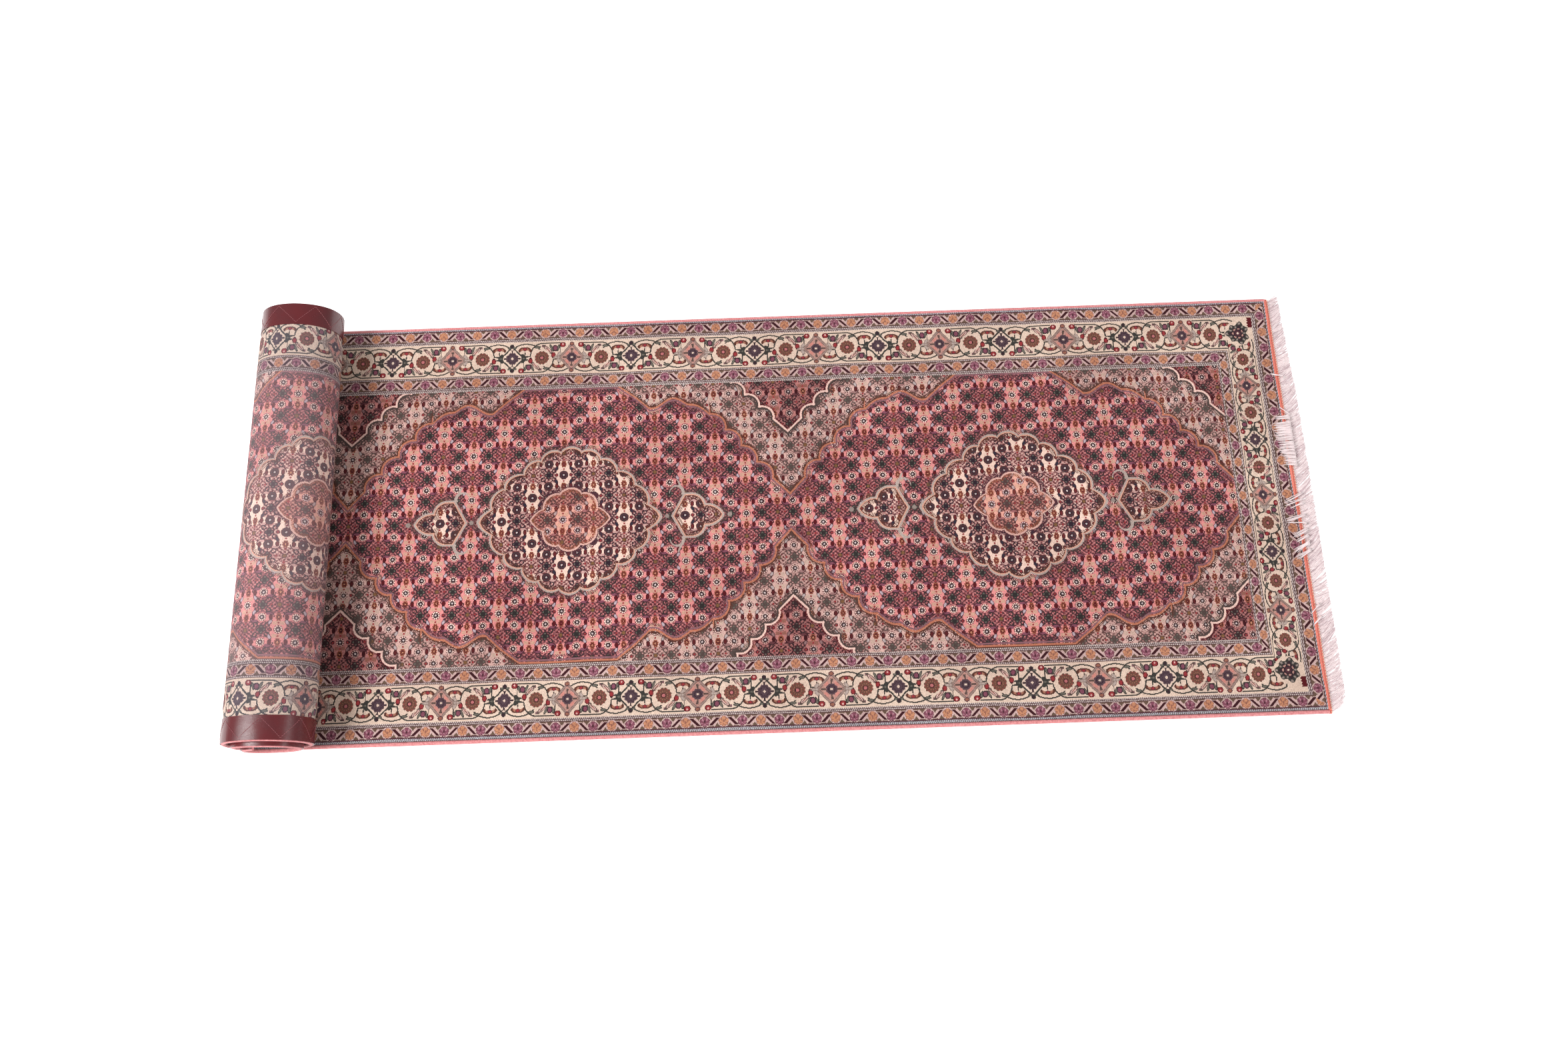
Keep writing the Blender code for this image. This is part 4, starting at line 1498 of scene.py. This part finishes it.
def fringe_tree(material):
    """Yarns side by side along the end of the rug, leaning to the far side over one another."""
    size = new_tree("cotton_fringe", FRINGE_SIZES)
    yarns, seed = size["Yarns"], size["Seed"]
    roots = yarns.node("GeometryNodeMeshLine", {"Count": yarns, "Offset": (0.0, 0.0, 0.0)})
    roots = kept(roots, "number", yarns.node("GeometryNodeInputIndex"))
    yarn = yarns.node("GeometryNodeCurvePrimitiveLine")
    yarn = yarns.node("GeometryNodeResampleCurve", {"Curve": yarn, "Count": YARN_POINTS})
    yarn = kept(yarn, "share", yarns.node("GeometryNodeSplineParameter"))
    laid = yarns.node("GeometryNodeInstanceOnPoints", {"Points": roots, "Instance": yarn})
    laid = yarns.node("GeometryNodeRealizeInstances", {"Geometry": laid})
    number, share = recalled(yarns, "number"), recalled(yarns, "share")
    into_row = (number + chance(number, seed, 0, PLACE_CHANCE)) / yarns
    root_y = size["Near End"] + (size["Far End"] - size["Near End"]) * into_row
    reach = root_y.ramp(size["Shorter From"], size["Far End"], size["Reach"], size["Far Reach"])
    corner = root_y.ramp(size["Near End"], size["Near End"] + size["Corner"], size["Corner Cut"], 1.0)
    reach = reach * corner * chance(number, seed, 1, REACH_CHANCE)
    slow, quick = root_y * size["Waves"], root_y * size["Waves"] * QUICK_WAVES
    waves = slow.sin() * LEAN_WAVE + quick.sin() * QUICK_WAVE
    lean = size["Lean"] + waves + chance(number, seed, 2, LEAN_CHANCE)
    bend = share.math("POWER", share, chance(number, seed, 3, BEND_CHANCE))
    wander = (share * CURLS + number).sin() * share * size["Yarn Radius"]
    y = root_y + reach * lean * bend + wander
    layer = chance(number, seed, 4)
    height = size["Yarn Radius"] + size["Depth"] * layer * share.ramp(0.0, 1.0, 1.0, TIP_DEPTH)
    x = size["Root X"] + reach * share
    curve = placed(laid, x, y, height)
    # A chance per yarn that sets its share of the darker tone, partly its own and partly painted shade
    # between streaks
    curve = kept(curve, "tone", chance(number, seed, 5))
    spun_yarn(curve, size["Yarn Radius"], share.ramp(*YARN_TAPER), material)
    return yarns.tree


def turned_tree(material):
    """Yarns that rise from the end of the rug, bend back and lie on the pile along their guides."""
    size = new_tree("turned_back_yarns", TURNED_SIZES)
    guide, seed, top = size["Guide"], size["Seed"], size["Pile Top"]
    curve = guide.node("GeometryNodeMeshToCurve", {"Mesh": guide})
    number = guide.node("GeometryNodeCurveOfPoint")
    curve = kept(curve, "number", number)
    curve = guide.node("GeometryNodeResampleCurve", {"Curve": curve, "Count": TURNED_POINTS})
    curve = kept(curve, "share", guide.node("GeometryNodeSplineParameter"))
    number, share = recalled(guide, "number"), recalled(guide, "share")
    straight_x, straight_y = guide.node("GeometryNodeInputPosition").parts()
    turning = share.ramp(0.0, TURNING_SHARE, 0.0, math.pi)
    back = (size["Root X"] - straight_x) / share * share.ramp(TURNING_SHARE, 1.0)
    x = size["Root X"] + size["Bulge"] * turning.sin() - back
    y = straight_y + (share * TURNED_CURLS + number).sin() * share * size["Yarn Radius"]
    layer = chance(number, seed, 0) * size["Depth"]
    rest = top + size["Yarn Radius"] + layer
    fall = share.ramp(TURNING_SHARE, SETTLED_SHARE, size["Rise"], 0.0)
    z = size["Yarn Radius"] + (rest + fall - size["Yarn Radius"]) * (1.0 - turning.cos()) / 2.0
    curve = placed(curve, x, y, z)
    # Turned-back tufts keep their tone below where the painted yarn shade starts
    curve = kept(curve, "tone", chance(number, seed, 1, TURNED_TONES))
    spun_yarn(curve, size["Yarn Radius"], share.ramp(*TURNED_TAPER), material)
    return guide.tree


def stitch_tree(name, sizes, material):
    """Stitches one after another along the guide, each turned by the slant from its line."""
    size = new_tree(name, sizes)
    guide = size["Guide"]
    curve = guide.node("GeometryNodeMeshToCurve", {"Mesh": guide})
    points = guide.tree.nodes.new("GeometryNodeCurveToPoints")
    points.mode = "LENGTH"
    guide.tree.links.new(curve.socket, points.inputs["Curve"])
    guide.tree.links.new(size["Pitch"].socket, points.inputs["Length"])
    places = Value(guide.tree, points.outputs["Points"])
    tangent = Value(guide.tree, points.outputs["Tangent"])
    along = guide.node("FunctionNodeAlignRotationToVector", {"Vector": tangent}, axis="Z")
    slant = guide.node("FunctionNodeAxisAngleToRotation", {"Axis": (0.0, 1.0, 0.0), "Angle": size["Slant"]})
    turn = guide.node("FunctionNodeRotateRotation", {0: along, 1: slant}, rotation_space="LOCAL")
    sockets = {"Segments": STITCH_SEGMENTS, "Rings": STITCH_RINGS, "Radius": size["Thread Radius"]}
    stitch = guide.node("GeometryNodeMeshUVSphere", sockets)
    longer = size["Stitch Length"] / size["Thread Radius"] / 2.0
    scale = guide.node("ShaderNodeCombineXYZ", {0: 1.0, 1: 1.0, 2: longer})
    sockets = {"Points": places, "Instance": stitch, "Rotation": turn, "Scale": scale}
    finish_tree(guide.node("GeometryNodeInstanceOnPoints", sockets), material)
    return guide.tree


def make_fringe(material):
    sizes = dict(FRINGE_SIZES)
    sizes["Root X"] += SHIFT.x
    sizes["Near End"] += SHIFT.y
    sizes["Far End"] += SHIFT.y
    return grow("cotton_fringe", fringe_tree(material), sizes)


def turned_guides():
    """A straight edge from root to tip for each yarn of each turned-back tuft."""
    lines = []
    for tuft in TURNED_TUFTS:
        for number in range(tuft.yarns):
            share = (number + 0.5) / tuft.yarns
            root_y = tuft.root_low + (tuft.root_high - tuft.root_low) * share
            tip_y = tuft.tip_low + (tuft.tip_high - tuft.tip_low) * share
            tip_y += UNEVEN_SIDES * math.sin(number * SIDE_STEP)
            uneven = 1 + UNEVEN_TIPS * math.sin(number * TIP_STEP + tuft.root_low * TUFT_STEP)
            tip_x = PILE_END_X - tuft.reach * uneven
            ends = ((BACKING_OUTER_X, root_y, 0.0), (tip_x, tip_y, 0.0))
            lines.append([Vector(end) + SHIFT for end in ends])
    return guide_lines("turned_back_yarns", lines)


def make_turned_yarns(material):
    sizes = dict(TURNED_SIZES)
    sizes["Root X"] += SHIFT.x
    return grow("turned_back_yarns", turned_tree(material), sizes, turned_guides())


def zigzag_line(side):
    """Corners of the zigzag on the outer face of a leather strip, round the outside of the roll."""
    inner = LEATHER_INNER_EDGE + ZIGZAG_MARGIN
    outer = LEATHER_OUTER_EDGE - ZIGZAG_MARGIN
    steps = round((ZIGZAG_END - ZIGZAG_START) / ZIGZAG_STEP)
    line = []
    for step in range(steps * ZIGZAG_POINTS + 1):
        angle = ZIGZAG_START + ZIGZAG_STEP * step / ZIGZAG_POINTS
        fold = abs((step / ZIGZAG_POINTS) % 2 - 1)
        across = side * (outer + (inner - outer) * fold)
        line.append(lay(roll_station(angle, 0.0), across, LEATHER_FLOOR_GAP - ZIGZAG_PROUD))
    return line


def make_zigzag(where, side, thread):
    name = f"zigzag_stitches_{where}"
    tree = stitch_tree(name, ZIGZAG_STITCH, thread)
    return grow(name, tree, ZIGZAG_STITCH, guide_lines(name, [zigzag_line(side)]))


def make_band_stitches(thread):
    """Cream stitches that bind the outer edge of the coral band to the fringe."""
    name = "band_stitches"
    x, z = BAND_OUTER_X - BAND_STITCH_INSET, BAND_HEIGHT
    ends = [Vector((x, side * FRINGE_HALF_WIDTH, z)) + SHIFT for side in (-1, 1)]
    tree = stitch_tree(name, BAND_STITCH, thread)
    return grow(name, tree, BAND_STITCH, guide_lines(name, [ends]))


# Stage


def make_floor():
    mesh = bpy.data.meshes.new("floor")
    corners = [(x * FLOOR_REACH, y * FLOOR_REACH, 0) for x, y in ((-1, -1), (1, -1), (1, 1), (-1, 1))]
    mesh.from_pydata(corners, [], [(0, 1, 2, 3)])
    floor = bpy.data.objects.new("floor", mesh)
    bpy.context.scene.collection.objects.link(floor)
    mesh.materials.append(new_material("pale_floor", FLOOR_FINISH)[0])


def make_camera():
    """The photographer stands over the near side and looks steeply down."""
    swing = Matrix.Rotation(CAMERA_TURN, 3, "Z")
    forward = swing @ Vector((0, math.cos(CAMERA_DOWN), -math.sin(CAMERA_DOWN)))
    up = swing @ Vector((0, math.sin(CAMERA_DOWN), math.cos(CAMERA_DOWN)))
    right = swing @ Vector((1, 0, 0))
    tilted_right = math.cos(CAMERA_TILT) * right + math.sin(CAMERA_TILT) * up
    tilted_up = -math.sin(CAMERA_TILT) * right + math.cos(CAMERA_TILT) * up
    turned = Matrix((tilted_right, tilted_up, -forward)).transposed().to_4x4()
    data = bpy.data.cameras.new("camera")
    data.sensor_width = SENSOR_WIDTH
    data.lens = SENSOR_WIDTH * LENS_PIXELS / PHOTO_WIDTH
    camera = bpy.data.objects.new("camera", data)
    camera.matrix_world = Matrix.Translation(CAMERA_PLACE + SHIFT) @ turned
    bpy.context.scene.collection.objects.link(camera)
    bpy.context.scene.camera = camera


def make_light(lamp):
    """A soft rectangular lamp that shines at the middle of the floor."""
    data = bpy.data.lights.new(lamp.name, "AREA")
    data.shape = "RECTANGLE"
    data.size, data.size_y = lamp.size
    data.energy = lamp.power
    light = bpy.data.objects.new(lamp.name, data)
    aim = (-lamp.place).to_track_quat("-Z", "Y")
    light.matrix_world = Matrix.Translation(lamp.place) @ aim.to_matrix().to_4x4()
    bpy.context.scene.collection.objects.link(light)


def make_world():
    world = bpy.data.worlds.new("studio")
    world.use_nodes = True
    background = world.node_tree.nodes["Background"]
    background.inputs["Color"].default_value = (1.0, 1.0, 1.0, 1.0)
    background.inputs["Strength"].default_value = WORLD_LIGHT
    bpy.context.scene.world = world
    bpy.context.scene.view_settings.view_transform = "Standard"


def build():
    make_camera()
    for lamp in LAMPS:
        make_light(lamp)
    make_world()
    make_floor()
    path = rug_path()
    rug = make_rug(path)
    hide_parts("rug")
    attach(rug, "root")
    cord_wool = cord_material()
    leather = leather_material()
    zigzag_thread = thread_material("pink_zigzag_thread", ZIGZAG_DYE)
    trims = []
    for where, side in (("near", -1), ("far", 1)):
        cord = make_cord(f"side_cord_{where}", side, path, cord_wool)
        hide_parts(f"selvedge_{where}")
        strip = make_leather(f"leather_strip_{where}", side, path, leather)
        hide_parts(f"leather_{where}")
        trims += [cord, strip]
    for where, side in (("near", -1), ("far", 1)):
        zigzag = make_zigzag(where, side, zigzag_thread)
        trims.append(zigzag)
    stitches = make_band_stitches(thread_material("cream_binding_thread", BINDING_DYE))
    cotton = cotton_material()
    fringe = make_fringe(cotton)
    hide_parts("fringe")
    turned = make_turned_yarns(cotton)
    trims += [stitches, fringe, turned]
    for piece in trims:
        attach(piece, "root")
    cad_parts["heading"].material_slots[0].material = band_material()


build()
